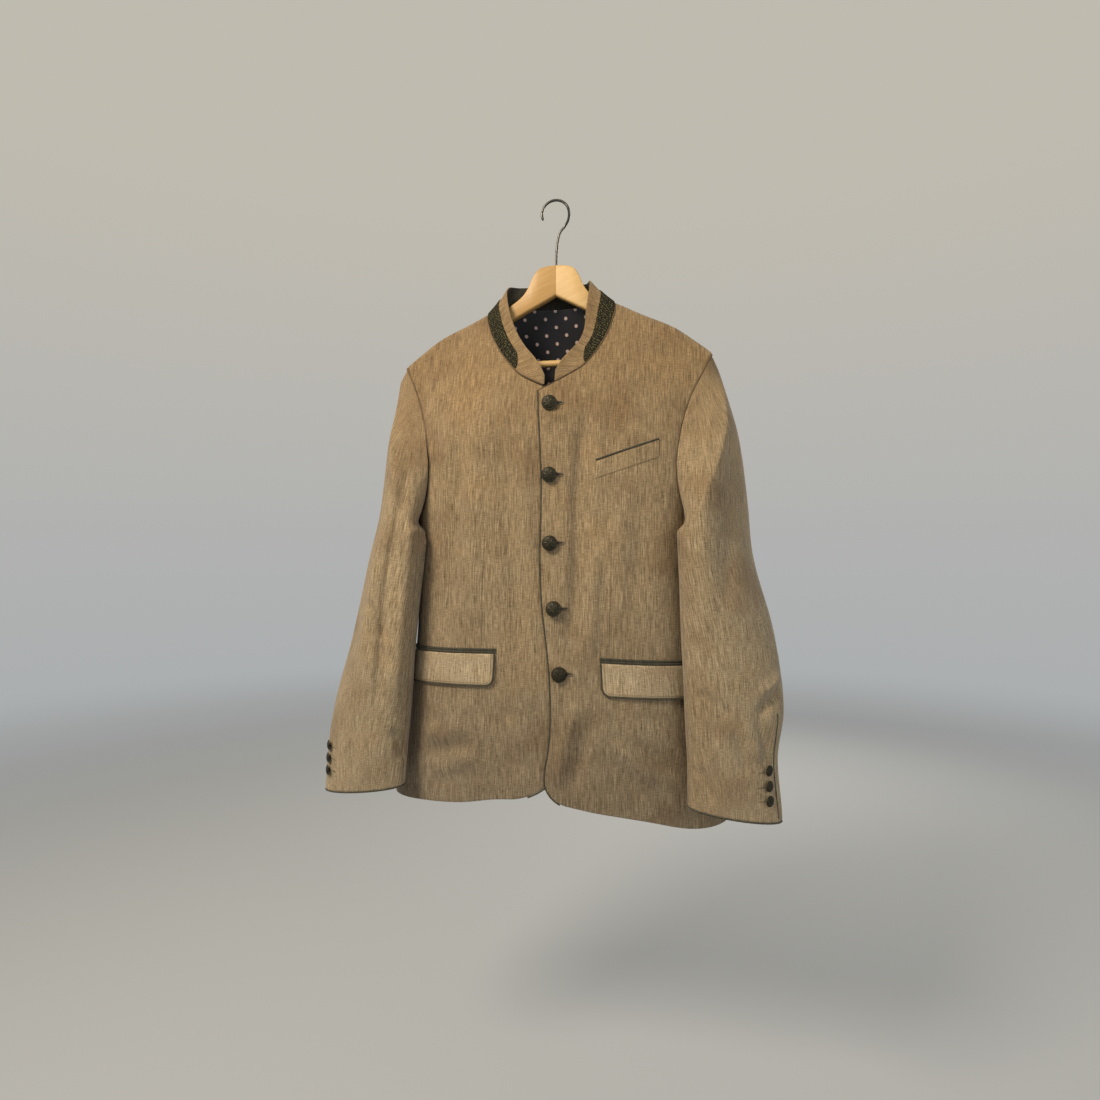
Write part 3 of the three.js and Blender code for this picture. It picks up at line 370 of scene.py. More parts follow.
SLEEVE_FOLDS = {
    "right": [
        (
            -4.6,
            9,
            [(199, -340), (202, -426), (209, -481), (218, -536), (222, -591), (225, -660), (231, -735)],
        ),
        (3.0, 8, [(181, -399), (188, -481), (196, -564), (203, -646), (209, -740)]),
        (-2.6, 9, [(246, -410), (255, -452), (267, -524), (280, -597), (292, -680)]),
        (2.4, 9, [(228, -430), (240, -510), (250, -590), (262, -690)]),
        (-1.8, 5, [(262, -556), (238, -580), (208, -622)]),
        (1.8, 5, [(258, -572), (236, -596), (212, -640)]),
        (-2.2, 6, [(214, -738), (202, -756), (196, -790)]),
        (-1.6, 8, [(262, -720), (266, -770), (264, -815)]),
        (-2.4, 10, [(206, -262), (200, -300), (196, -350)]),
    ],
    "left": [
        (-3.4, 13, [(240, -320), (246, -377), (243, -443), (238, -508), (237, -590)]),
        (2.0, 12, [(214, -360), (210, -450), (206, -540), (212, -640)]),
        (-1.8, 12, [(200, -480), (204, -560), (210, -660)]),
        (-4.0, 7, [(308, -676), (290, -688), (270, -704)]),
        (3.0, 6, [(309, -655), (292, -664), (272, -676)]),
        (-2.6, 6, [(238, -718), (252, -746), (262, -780)]),
        (2.0, 6, [(252, -706), (268, -730), (276, -762)]),
        (-2.0, 6, [(268, -700), (281, -735), (285, -772)]),
        (-2.0, 7, [(200, -764), (209, -790), (218, -818)]),
        (-1.6, 6, [(196, -672), (217, -686), (244, -706)]),
        (-2.2, 10, [(208, -265), (204, -300), (198, -350)]),
    ],
}


def relief(folds, x, z):
    """How far the folds of a table lift the cloth at x and z."""
    total = np.zeros(np.shape(x))
    for depth, half, points in folds:
        p = np.array(points, float)
        run = np.concatenate([[0], np.cumsum(np.linalg.norm(np.diff(p, axis=0), axis=1))])
        best, share = np.full(np.shape(x), 1e9), np.zeros(np.shape(x))
        for a, b, start, end in zip(p[:-1], p[1:], run[:-1], run[1:]):
            d = b - a
            t = np.clip(((x - a[0]) * d[0] + (z - a[1]) * d[1]) / (d @ d), 0, 1)
            gap = np.hypot(x - a[0] - d[0] * t, z - a[1] - d[1] * t)
            share = np.where(gap < best, lerp(start, end, t) / run[-1], share)
            best = np.minimum(gap, best)
        fade = smooth(np.minimum(share, 1 - share), 0, 0.28)
        total += FOLD_DEPTH * depth * np.exp(-((best / half) ** 2)) * fade
    return total


def waver(x, z):
    """The small unevenness of cloth between its folds."""
    slow = np.sin(x / 31 + z / 67 + 1.3) * np.sin(z / 83 - x / 59)
    quick = np.sin(x / 11.3 - z / 47) * np.sin(z / 29 + x / 37 + 0.7)
    return 0.8 * slow + 0.28 * quick


def body_relief(angle, x, z):
    ahead = 1 - smooth(np.abs(angle), 66, 88)
    behind = smooth(np.abs(angle), 98, 120)
    return (
        relief(FRONT_FOLDS, x, z) * ahead
        + relief(BACK_FOLDS, x, z) * behind
        + waver(x, z) * (0.35 + 0.65 * np.maximum(ahead, behind))
    )


print("folds:", len(FRONT_FOLDS), "in front,", len(BACK_FOLDS), "behind")


# %% [markdown]
# ## The form under the cloth
# `torso` is a point of the body at an angle round it and a height, `out` millimetres off the cloth.


# %% body form
def torso(angle, z, out=0.0, folded=True):
    """Angles run from 0 in the middle of the front to 180 behind, and are negative on the right."""
    angle, z = np.broadcast_arrays(np.asarray(angle, float), np.asarray(z, float))
    square, a = squareness(z), np.radians(angle)
    size = (np.abs(np.sin(a)) ** square + np.abs(np.cos(a)) ** square) ** (1 / square)
    across, along = np.sin(a) / size, -np.cos(a) / size
    x = across * lerp(body_front(z), body_back(z), (along + 1) / 2)
    below = np.maximum(ridge_z(np.abs(x)) - z, 0)
    fill = np.clip(below / np.where(along < 0, FRONT_ROUNDING, BACK_ROUNDING), 0, 1)
    depth = np.where(along < 0, depth_front(z), depth_back(z))
    roll = np.sqrt(1 - (1 - np.clip(below / RIDGE_ROLL, 0, 1)) ** 2)
    up = (1 - fill) ** 2
    crest = ridge_y(x) + np.sign(along) * RIDGE_HALF * roll
    y = crest * up + along * depth * (1 - (1 - fill) ** 1.6)
    if folded:
        out = out + body_relief(angle, x, z) * smooth(fill, 0.03, 0.4)
    level = np.sqrt(1 - up * up)
    return np.stack([x + across * out * level, y + along * out * level, z + out * up], -1)


def angle_of(x, z, face="front"):
    """The angle of the place on the front or the back at x and z."""
    x, z = np.broadcast_arrays(np.asarray(x, float), np.asarray(z, float))
    square, sign = squareness(z), -1 if face == "front" else 1
    width, along = lerp(body_front(z), body_back(z), 0.5), 0
    for _ in range(12):
        across = np.clip(np.abs(x) / width, 0, 0.999)
        along = sign * (1 - across**square) ** (1 / square)
        width = lerp(body_front(z), body_back(z), (along + 1) / 2)
    return np.where(x < 0, -1, 1) * np.degrees(np.arctan2(np.abs(x) / width, -along))


def round_length(angle, z, start=0.0, count=40):
    """The way round the unfolded body from the angle `start`."""
    steps = np.linspace(0, 1, count)
    shape = np.shape(angle) + (1,)
    turned = lerp(start, np.reshape(angle, shape), steps)
    p = torso(turned, np.reshape(z, shape), folded=False)
    run = np.linalg.norm(np.diff(p[..., :2], axis=-2), axis=-1).sum(-1)
    return run * np.sign(angle - start)


def walk(start_x, z, distance):
    """The angle that a walk of `distance` round the body reaches from a place on the front."""
    start = float(angle_of(start_x, z))
    angles = start + np.sign(start_x) * np.linspace(0, 75, 400)
    p = torso(angles, z, folded=False)[:, :2]
    run = np.concatenate([[0], np.cumsum(np.linalg.norm(np.diff(p, axis=0), axis=1))])
    return np.interp(distance, run, angles)


def armhole_points():
    front = [(float(angle_of(x, z)), z) for x, z in ARMHOLE_FRONT]
    back = [(float(angle_of(x, z, "back")), z) for x, z in ARMHOLE_BACK]
    return np.array(front + ARMHOLE_UNDER + back)


ARM_POINTS = armhole_points()
arm_line = by_length(ARM_POINTS * [ARM_SCALE, 1], 4000)


def armhole(t, inset=0.0):
    """Angle and height at a share of the way from the shoulder down the front and up the back."""
    t = np.asarray(t, float)
    p, a, b = arm_line(t), arm_line(t - 0.004), arm_line(t + 0.004)
    d = (b - a) / np.linalg.norm(b - a, axis=-1, keepdims=True)
    return (p[..., 0] - d[..., 1] * inset) / ARM_SCALE, p[..., 1] + d[..., 0] * inset


def armhole_share(number):
    """The share at which the armhole passes one of its points."""
    t = np.linspace(0, 1, 4001)
    return t[np.argmin(np.linalg.norm(arm_line(t) - ARM_POINTS[number] * [ARM_SCALE, 1], axis=1))]


FIRST_UNDER = len(ARMHOLE_FRONT)
LAST_UNDER = FIRST_UNDER + len(ARMHOLE_UNDER) - 1
ARM_FRONT, ARM_BACK = armhole_share(FIRST_UNDER), armhole_share(LAST_UNDER)
print("armhole passes the side seams at", round(ARM_FRONT, 3), "and", round(ARM_BACK, 3))

# %% [markdown]
# ## Cloth walls
# `wall` lays a closed wall of cloth on a form. Its outer face rolls in at every edge, so a seam is
# a soft groove between two pieces. UVs are in metres along the cloth, so the grain follows it.


# %% meshes
def mesh_object(name, points, faces, uvs=None, sharp=40):
    mesh = bpy.data.meshes.new(name)
    mesh.from_pydata((np.asarray(points) - [0, 0, HOOK_RISE]) * 0.001, [], faces)
    if uvs is not None:
        layer = mesh.uv_layers.new(name="UVMap")
        corners = np.zeros(len(mesh.loops), np.int32)
        mesh.loops.foreach_get("vertex_index", corners)
        layer.data.foreach_set("uv", (np.asarray(uvs) * 0.001)[corners].astype(np.float32).ravel())
    mesh.validate()
    mesh.update()
    mesh.shade_smooth()
    mesh.set_sharp_from_angle(angle=math.radians(sharp))
    obj = bpy.data.objects.new(name, mesh)
    bpy.context.scene.collection.objects.link(obj)
    return obj


def place_piece(obj, material, slot, *nodes):
    obj.data.materials.append(material)
    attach(obj, "root")
    if nodes:
        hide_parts(*nodes)
    return obj


def grid_faces(count_u, count_v, first=0, flip=False):
    i, j = np.meshgrid(np.arange(count_u - 1), np.arange(count_v - 1))
    a = first + (j * count_u + i).ravel()
    quads = np.stack([a, a + 1, a + count_u + 1, a + count_u], 1)
    return quads[:, ::-1] if flip else quads


def signed_volume(points, faces):
    a, b, c, d = (points[faces[:, k]] for k in range(4))
    return float((np.cross(a, b) * c).sum() + (np.cross(a, c) * d).sum())


def along_cloth(p):
    """How far each point of a grid lies from its first column and its first row."""
    step = np.linalg.norm(np.diff(p, axis=1), axis=-1)
    u = np.concatenate([np.zeros((len(p), 1)), np.cumsum(step, axis=1)], 1)
    step = np.linalg.norm(np.diff(p, axis=0), axis=-1)
    v = np.concatenate([np.zeros((1, p.shape[1])), np.cumsum(step, axis=0)], 0)
    return u, v


def wall(name, place, us, vs, thick=CLOTH, roll=0.7, roll_width=2.4, uv=None):
    """place(us, vs) gives a function from millimetres off the form to a grid of points."""
    form = place(us, vs)
    run_u, run_v = along_cloth(form(0.0))
    edge_u = np.minimum(run_u, run_u[:, -1:] - run_u)
    edge = np.minimum(np.minimum(run_v, run_v[-1:] - run_v), edge_u)
    dip = roll * (1 - np.clip(edge / roll_width, 0, 1)) ** 2
    layers = [form(-dip), form(-thick + dip * 0.3)]
    count_u, count_v = len(us), len(vs)
    sheet = count_u * count_v
    first = np.arange(sheet).reshape(count_v, count_u)
    border = [first[0], first[:, -1], first[-1, ::-1], first[::-1, 0]]
    faces = [grid_faces(count_u, count_v), grid_faces(count_u, count_v, sheet, flip=True)]
    for line in border:
        faces.append(np.stack([line[1:], line[:-1], line[:-1] + sheet, line[1:] + sheet], 1))
    faces = np.vstack(faces)
    points = np.concatenate([layer.reshape(-1, 3) for layer in layers])
    if uv is None:
        middle = run_u[:, count_u // 2, None]
        uv = (run_u - middle, run_v[-1:] - run_v)
    uvs = np.tile(np.stack([uv[0].ravel(), uv[1].ravel()], 1), (2, 1))
    if signed_volume(points, faces) < 0:
        faces = faces[:, ::-1]
    return mesh_object(f"{name}_cloth", points, faces.tolist(), uvs)


def denser_ends(count, first=0.004):
    """0 to 1 in even steps, with close rows at both ends for the rolled edge."""
    ends = np.array([0, 1, 2.2, 3.6, 5.5]) * first
    return np.concatenate([ends, np.linspace(7.5 * first, 1 - 7.5 * first, count), 1 - ends[::-1]])


def tube(name, path, radius, sides=10, squash=(1.0, 1.0), closed=False, outward=None):
    """A cord along a path. squash widens it across and along `outward`, its normal at each point."""
    p = np.asarray(path, float)
    ahead = np.roll(p, -1, 0) - np.roll(p, 1, 0)
    if not closed:
        ahead[0], ahead[-1] = p[1] - p[0], p[-1] - p[-2]
    ahead /= np.linalg.norm(ahead, axis=1, keepdims=True)
    if outward is None:
        guess = np.tile([0.0, -1.0, 0.0], (len(p), 1))
        odd = np.abs(ahead[:, 1]) > 0.9
        guess[odd] = [0, 0, 1]
    else:
        guess = np.asarray(outward, float)
    side = np.cross(ahead, guess)
    side /= np.linalg.norm(side, axis=1, keepdims=True)
    rise = np.cross(side, ahead)
    a = np.linspace(0, 2 * np.pi, sides, endpoint=False)
    radius = np.broadcast_to(radius, len(p))[:, None, None]
    around = np.cos(a)[None, :, None] * side[:, None] * squash[0]
    around = around + np.sin(a)[None, :, None] * rise[:, None] * squash[1]
    points = p[:, None] + radius * around
    faces = []
    rings = len(p) if closed else len(p) - 1
    for j in range(rings):
        k = (j + 1) % len(p)
        for i in range(sides):
            n = (i + 1) % sides
            faces.append((j * sides + i, j * sides + n, k * sides + n, k * sides + i))
    if not closed:
        faces.append(tuple(range(sides))[::-1])
        faces.append(tuple((len(p) - 1) * sides + i for i in range(sides)))
    run = np.concatenate([[0], np.cumsum(np.linalg.norm(np.diff(p, axis=0), axis=1))])
    uvs = np.stack([np.tile(np.arange(sides) * 0.8, len(p)), np.repeat(run, sides)], 1)
    return mesh_object(name, points.reshape(-1, 3), faces, uvs, sharp=60)


def joined(name, objects):
    """One object from several, so that a row of stitches is one piece."""
    with bpy.context.temp_override(active_object=objects[0], selected_editable_objects=objects):
        bpy.ops.object.join()
    objects[0].name = name
    return objects[0]


print("mesh helpers ready")

# %% [markdown]
# ## Materials
# Everything is procedural. Sizes of a pattern are in millimetres, and colours are sRGB hex.


# %% material helpers
def colour(code):
    c = np.array([int(code[i : i + 2], 16) for i in (0, 2, 4)]) / 255
    c = np.where(c <= 0.04045, c / 12.92, ((c + 0.055) / 1.055) ** 2.4)
    return (*c.tolist(), 1.0)


def node(tree, kind, inputs=None, **settings):
    made = tree.nodes.new("ShaderNode" + kind)
    for name, value in settings.items():
        setattr(made, name, value)
    for name, value in (inputs or {}).items():
        if isinstance(value, bpy.types.NodeSocket):
            tree.links.new(value, made.inputs[name])
        else:
            made.inputs[name].default_value = value
    return made


def mix(tree, factor, a, b, blend="MIX"):
    made = node(tree, "Mix", {0: factor, 6: a, 7: b}, data_type="RGBA", blend_type=blend)
    return made.outputs[2]


def math_node(tree, operation, a, b=0.0, c=0.0):
    return node(tree, "Math", {0: a, 1: b, 2: c}, operation=operation).outputs[0]


def stretched(tree, wide, long, source=None):
    """UV coordinates in units of wide by long millimetres."""
    source = source or node(tree, "UVMap").outputs[0]
    scale = (1000 / wide, 1000 / long, 1000 / wide)
    return node(tree, "Mapping", {"Vector": source, "Scale": scale}).outputs[0]


def noise(tree, wide, long, detail=2.0, source=None, rough=0.5):
    vector = stretched(tree, wide, long, source)
    inputs = {"Vector": vector, "Scale": 1.0, "Detail": detail, "Roughness": rough}
    return node(tree, "TexNoise", inputs, noise_dimensions="3D").outputs[0]


def ramp(tree, factor, *stops):
    made = node(tree, "ValToRGB", {0: factor})
    marks = made.color_ramp.elements
    while len(marks) < len(stops):
        marks.new(0.5)
    for mark, (at, code) in zip(marks, stops):
        mark.position, mark.color = at, colour(code)
    return made.outputs[0]


def surface(name, roughness, metallic=0.0, specular=0.5, sheen=0.0):
    made = bpy.data.materials.new(name)
    made.use_nodes = True
    shader = made.node_tree.nodes["Principled BSDF"]
    shader.inputs["Roughness"].default_value = roughness
    shader.inputs["Metallic"].default_value = metallic
    shader.inputs["Specular IOR Level"].default_value = specular
    shader.inputs["Sheen Weight"].default_value = sheen
    shader.inputs["Sheen Roughness"].default_value = 0.6
    return made, made.node_tree, shader


def bumped(tree, shader, height, millimetres, strength=1.0):
    inputs = {"Height": height, "Distance": millimetres * 0.001, "Strength": strength}
    tree.links.new(node(tree, "Bump", inputs).outputs[0], shader.inputs["Normal"])


# %% linen and trim
def linen(name, dark, mid, light, rust="8a5a3c", low="e6e8ec"):
    """Slubby yarn in both directions with rust flecks and faint clouds, tinted by height with painted light.
    """
    made, tree, shader = surface(name, 0.88, specular=0.25, sheen=0.12)
    slub = noise(tree, 1.2, 34, 3, rough=0.65)
    fine = noise(tree, 0.85, 12, 2)
    weft = noise(tree, 9, 1.1, 2)
    total = math_node(tree, "MULTIPLY_ADD", slub, 0.5, math_node(tree, "MULTIPLY", fine, 0.27))
    total = math_node(tree, "MULTIPLY_ADD", weft, 0.23, total)
    base = ramp(tree, total, (0.37, dark), (0.5, mid), (0.63, light))
    fleck = ramp(tree, noise(tree, 1.8, 22, 2), (0.6, "000000"), (0.74, "909090"))
    base = mix(tree, fleck, base, colour(rust))
    # painted light by height: a warm tint up the chest, and a cooler, darker painted shade, the colour
    # `low`, towards the hem
    place = node(tree, "TexCoord").outputs["Object"]
    up = node(tree, "SeparateXYZ", {0: place}).outputs[2]
    high = node(tree, "MapRange", {0: up, 1: -0.86, 2: -0.24}).outputs[0]
    painted_height_light = ramp(tree, high, (0.0, low), (0.4, "fcfbf8"), (0.75, "fffaf0"), (1.0, "f0e2c9"))
    base = mix(tree, 1.0, base, painted_height_light, "MULTIPLY")
    cloudy = ramp(tree, noise(tree, 80, 150, 3, place), (0.3, "e2d9d0"), (0.5, "f9f8f6"), (0.7, "fff8ef"))
    base = mix(tree, 1.0, base, cloudy, "MULTIPLY")
    tree.links.new(base, shader.inputs["Base Color"])
    yarn = {"Vector": stretched(tree, 5.2, 5.2), "Scale": 1.0}
    across, down = (node(tree, "TexWave", yarn, bands_direction=axis).outputs[1] for axis in "XY")
    weave = math_node(tree, "MULTIPLY", across, down)
    height = math_node(tree, "MULTIPLY_ADD", weave, 0.35, total)
    bumped(tree, shader, height, 0.5)
    return made


def trim(name, dark, light, rib=1.1):
    """Ribbed olive cloth."""
    made, tree, shader = surface(name, 0.75, specular=0.3, sheen=0.1)
    inputs = {"Vector": stretched(tree, rib * 6, rib * 6), "Scale": 1.0, "Distortion": 1.5}
    ribs = node(tree, "TexWave", inputs, bands_direction="Y").outputs[1]
    mixed = mix(tree, ribs, colour(dark), colour(light))
    tone = ramp(tree, noise(tree, 3, 9, 2), (0.35, "a0a0a0"), (0.65, "ffffff"))
    tree.links.new(mix(tree, 1.0, mixed, tone, "MULTIPLY"), shader.inputs["Base Color"])
    bumped(tree, shader, ribs, 0.25)
    return made


def flat_axes(tree):
    """The two UV coordinates in millimetres."""
    return node(tree, "SeparateXYZ", {0: stretched(tree, 1, 1)}).outputs[:2]


def embroidered():
    """A speckled lattice of small raised stitches, 4.4 mm apart on the slant."""
    made, tree, shader = surface("inlay", 0.85, specular=0.15)
    half_pitch = 2.2
    u, v = flat_axes(tree)
    rising = math_node(tree, "PINGPONG", math_node(tree, "ADD", u, v), half_pitch)
    falling = math_node(tree, "PINGPONG", math_node(tree, "SUBTRACT", u, v), half_pitch)
    knot = math_node(tree, "MULTIPLY", rising, falling)
    raised = math_node(tree, "MULTIPLY", knot, 0.045)
    grain = math_node(tree, "MULTIPLY_ADD", noise(tree, 2.3, 2.3, 2), 0.9, raised)
    base = ramp(tree, grain, (0.4, "0a0904"), (0.54, "19170d"), (0.66, "595539"))
    tree.links.new(base, shader.inputs["Base Color"])
    bumped(tree, shader, grain, 0.6)
    return made


def dotted():
    """Staggered dots, 31 by 23 mm apart and 5 mm across."""
    made, tree, shader = surface("lining", 0.42, specular=0.4, sheen=0.1)
    half_u, half_v, clear_of_zero = 15.5, 11.5, 100
    u, v = flat_axes(tree)
    rows_apart = []
    for shift_u, shift_v in ((4, 0), (4 + half_u, half_v)):
        shifted_u = math_node(tree, "ADD", u, shift_u + clear_of_zero * half_u)
        shifted_v = math_node(tree, "ADD", v, shift_v + clear_of_zero * half_v)
        across = math_node(tree, "PINGPONG", shifted_u, half_u)
        down = math_node(tree, "PINGPONG", shifted_v, half_v)
        squared = math_node(tree, "MULTIPLY_ADD", across, across, math_node(tree, "POWER", down, 2))
        rows_apart.append(math_node(tree, "POWER", squared, 0.5))
    nearest = math_node(tree, "MINIMUM", *rows_apart)
    dot = ramp(tree, math_node(tree, "DIVIDE", nearest, 10), (0.22, "ffffff"), (0.27, "000000"))
    ground = ramp(tree, noise(tree, 1.2, 1.2, 2), (0.3, "0b0a10"), (0.7, "17151d"))
    tree.links.new(mix(tree, dot, ground, colour("b9a29a")), shader.inputs["Base Color"])
    return made


LINEN = linen("linen", "4f4331", "84745a", "aa9a7f", "774f3d")
# seam linen: a darker copy of the linen, for real seams and stitches, darkened with painted shade of their
# grooves
LINEN_SEAM_SHADE = linen("linen_seam_shade", "463b2b", "695a44", "85765c")
# flap linen: a lighter copy of the linen, painted light for the light the flaps catch
LINEN_FLAP_LIT = linen("linen_flap_lit", "655845", "a19175", "c6b79b")
# sleeve linen: a lighter copy of the linen, painted light for the light the sleeves catch, and with no
# painted shade towards the hem
LINEN_SLEEVE_LIT = linen("linen_sleeve_lit", "544836", "8b7c62", "b0a187", low="fffffe")
OLIVE = trim("olive", "24231a", "55503a")
EDGE = trim("edge", "2c2a20", "5f5944")
FACING = trim("facing", "1b1a10", "343020", 2.0)
INLAY = embroidered()
LINING = dotted()


# %% metal, wood and thread
def bronze():
    made, tree, shader = surface("bronze", 0.52, metallic=0.45, specular=0.35)
    place = node(tree, "TexCoord").outputs["Object"]
    worn = noise(tree, 1.6, 1.6, 3, place)
    tree.links.new(ramp(tree, worn, (0.35, "14130b"), (0.7, "38331f")), shader.inputs["Base Color"])
    bumped(tree, shader, worn, 0.12)
    return made


def pine(name, dark, mid, light):
    """Pale wood with its grain along the arm."""
    made, tree, shader = surface(name, 0.45, specular=0.4)
    place = node(tree, "TexCoord").outputs["Object"]
    turned = node(tree, "Mapping", {"Vector": place, "Rotation": (0, 0.42, 0)}).outputs[0]
    long_grain = node(tree, "Mapping", {"Vector": turned, "Scale": (9, 260, 330)}).outputs[0]
    inputs = {"Vector": long_grain, "Scale": 1.0, "Detail": 4.0, "Roughness": 0.6}
    grain = node(tree, "TexNoise", inputs).outputs[0]
    base = ramp(tree, grain, (0.3, dark), (0.5, mid), (0.7, light))
    tree.links.new(base, shader.inputs["Base Color"])
    bumped(tree, shader, grain, 0.03)
    return made


def plain(name, code, roughness, metallic=0.0):
    made, tree, shader = surface(name, roughness, metallic=metallic)
    place = node(tree, "TexCoord").outputs["Object"]
    tone = ramp(tree, noise(tree, 4, 4, 2, place), (0.3, "c8c8c8"), (0.7, "ffffff"))
    tree.links.new(mix(tree, 1.0, colour(code), tone, "MULTIPLY"), shader.inputs["Base Color"])
    return made


BRONZE = bronze()
# one pine for both arms: the wearer's left arm and the bar take a lighter copy, painted light, and the right
# arm a darker copy, painted shade, for how the mitre's halves face the light
PINE_LIT_AND_SHADED = {
    "left": pine("pine_lit", "b79660", "bd9c66", "c4a46f"),
    "right": pine("pine_shaded", "a07c46", "a6824b", "ad8953"),
}
STEEL = plain("steel", "5c5a56", 0.34, 1.0)
THREAD = plain("thread", "7d6d50", 0.8)
HOLE_THREAD = plain("hole_thread", "6d5f4a", 0.85)
# the dark of the buttonhole slits: painted shade in the opening of the cut
SLIT_SHADE = plain("slit_shade", "3a3122", 0.8)
print("materials:", len(bpy.data.materials))

# %% [markdown]
# ## Body panels
# Each panel is worked out in angle and height between its four cut edges, then laid on the body.


# %% panels
HEM_ROWS = 0.5  # this share of a panel's rows lies below the armhole


def crowd_shoulder(v):
    """Brings the rows above the armhole's foot closer together towards the shoulder."""
    high = lerp(HEM_ROWS, 1, 1 - ((1 - np.maximum(v, HEM_ROWS)) / (1 - HEM_ROWS)) ** 2.2)
    return np.where(v <= HEM_ROWS, v, high)


def centre_edge(side, z):
    return over_edge_x(z) + PIPING + SEAM if side == "left" else np.full(np.shape(z), float(UNDER_EDGE_X))


def corner_start(side):
    """Where the rounding of a front's lower corner leaves the front edge: angle, z and x."""
    up, angle = CORNERS[side][1], 0.0
    z = float(hem_z(0)) + up
    for _ in range(4):
        angle = float(angle_of(centre_edge(side, z), z))
        z = float(hem_z(angle)) + up
    return angle, z, float(centre_edge(side, z))


def coons(us, vs, bottom, top, start, end):
    """A grid of angle and height between four edges."""
    low, high, first, last = (np.stack(edge, -1) for edge in (bottom(us), top(us), start(vs), end(vs)))
    u, v = us[None, :, None], vs[:, None, None]
    ruled = lerp(low[None], high[None], v) + lerp(first[:, None], last[:, None], u)
    made = ruled - lerp(lerp(low[0], low[-1], u), lerp(high[0], high[-1], u), v)
    return made[..., 0], made[..., 1]


def shoulder(x, face, s):
    z = ridge_z(x) - RIDGE_GAP
    return s * angle_of(x, z, face), z


def front_panel(side, us, vs):
    s, (across, up) = SIDES[side], CORNERS[side]
    corner_angle, corner_z, corner_x = corner_start(side)
    hem_end = s * (SIDE_FRONT - SEAM_HALF)
    neck = NECK[side]
    line = by_length([(float(centre_edge(side, neck[0][1])), neck[0][1])] + neck[1:])

    def bottom(u):
        angle = lerp(corner_angle, hem_end, u)
        z = lerp(corner_z, hem_z(angle), np.minimum(u * 8, 1))
        for _ in range(30):
            off = np.abs(torso(angle, z, folded=False)[..., 0] - corner_x)
            share = np.clip((across - off) / across, 0, 1)
            z = lerp(z, hem_z(angle) + up * (1 - np.sqrt(1 - share**2)), 0.5)
        return angle, z

    def top(u):
        p = line(np.minimum(u / NECK_SHARE, 1))
        z = np.minimum(p[:, 1], ridge_z(np.abs(p[:, 0])) - RIDGE_GAP)
        x = lerp(abs(neck[-1][0]), SHOULDER_END, np.clip((u - NECK_SHARE) / (1 - NECK_SHARE), 0, 1))
        angle, high = shoulder(x, "front", s)
        on_neck = u < NECK_SHARE
        return np.where(on_neck, angle_of(p[:, 0], z), angle), np.where(on_neck, z, high)

    z0, z1 = bottom(us)[1][0], top(us)[1][0]

    def start(v):
        z = lerp(z0, z1, v)
        return angle_of(centre_edge(side, z), z), z

    def end(v):
        share = np.clip((v - HEM_ROWS) / (1 - HEM_ROWS), 0, 1)
        angle, z = armhole(lerp(ARM_FRONT, 0, share), -0.3 * smooth(1 - share, 0, 0.1))
        low = lerp(hem_z(hem_end), armhole(ARM_FRONT)[1], np.minimum(v / HEM_ROWS, 1))
        tip = top(us)
        angle = np.where(v <= HEM_ROWS, hem_end, np.where(v >= 1, tip[0][-1], s * angle))
        return angle, np.where(v <= HEM_ROWS, low, np.where(v >= 1, tip[1][-1], z))

    return coons(us, vs, bottom, top, start, end)


def front_point(side, angle, z, out):
    """A point on a front: the under front lies further in, where the other covers it."""
    if side == "right":
        x = torso(angle, z, folded=False)[..., 0]
        out = out - FRONT_LAYER_DROP * smooth((x - over_edge_x(z) + 50) / 42)
    return torso(angle, z, out)


def side_panel(side, us, vs):
    s, low, high = SIDES[side], SIDE_FRONT + SEAM_HALF, SIDE_BACK - SEAM_HALF

    def bottom(u):
        angle = s * lerp(low, high, u)
        return angle, hem_z(angle)

    def top(u):
        angle, z = armhole(lerp(ARM_FRONT, ARM_BACK, u), -0.1)
        return s * np.clip(angle, low, high), z

    def edge(number):
        ends = bottom(us)[1][number], top(us)[1][number]
        at = s * (low, high)[number]
        return lambda v: (np.full(len(v), at), lerp(*ends, v))

    return coons(us, vs, bottom, top, edge(0), edge(-1))


def back_panel(side, us, vs):
    s, low, high = SIDES[side], SIDE_BACK + SEAM_HALF, 180 - SEAM_HALF
    neck_end = abs(NECK[side][-1][0])

    def bottom(u):
        angle = s * lerp(high, low, u)
        return angle, hem_z(angle)

    def top(u):
        on_neck, t = u < NECK_SHARE, np.clip(u / NECK_SHARE, 0, 1)
        along = lerp(neck_end, SHOULDER_END, (u - NECK_SHARE) / (1 - NECK_SHARE))
        x = np.where(on_neck, neck_end * t, along)
        ridge = ridge_z(neck_end) - RIDGE_GAP
        z = np.where(on_neck, lerp(BACK_NECK, ridge, t**3), ridge_z(x) - RIDGE_GAP)
        return np.where(u == 0, s * high, s * angle_of(x, z, "back")), z

    def start(v):
        return np.full(len(v), s * high), lerp(bottom(us)[1][0], top(us)[1][0], v)

    def end(v):
        share = np.clip((v - HEM_ROWS) / (1 - HEM_ROWS), 0, 1)
        angle, z = armhole(lerp(ARM_BACK, 1, share), -0.1)
        lowest = lerp(bottom(us)[1][-1], armhole(ARM_BACK)[1], np.minimum(v / HEM_ROWS, 1))
        tip = top(us)
        angle = np.where(v <= HEM_ROWS, s * low, np.where(v >= 1, tip[0][-1], s * angle))
        return angle, np.where(v <= HEM_ROWS, lowest, np.where(v >= 1, tip[1][-1], z))

    return coons(us, vs, bottom, top, start, end)


def on_body(name, panel, side, us, vs, point=torso, start=0.0):
    """A body panel whose grain is upright: its UVs are the way round the body and the height."""
    angle, z = panel(side, us, vs)
    uv = (round_length(angle, z, start), z)
    made = wall(name, lambda u, v: lambda out: point(angle, z, out), us, vs, uv=uv)
    return place_piece(made, LINEN, "linen", name)


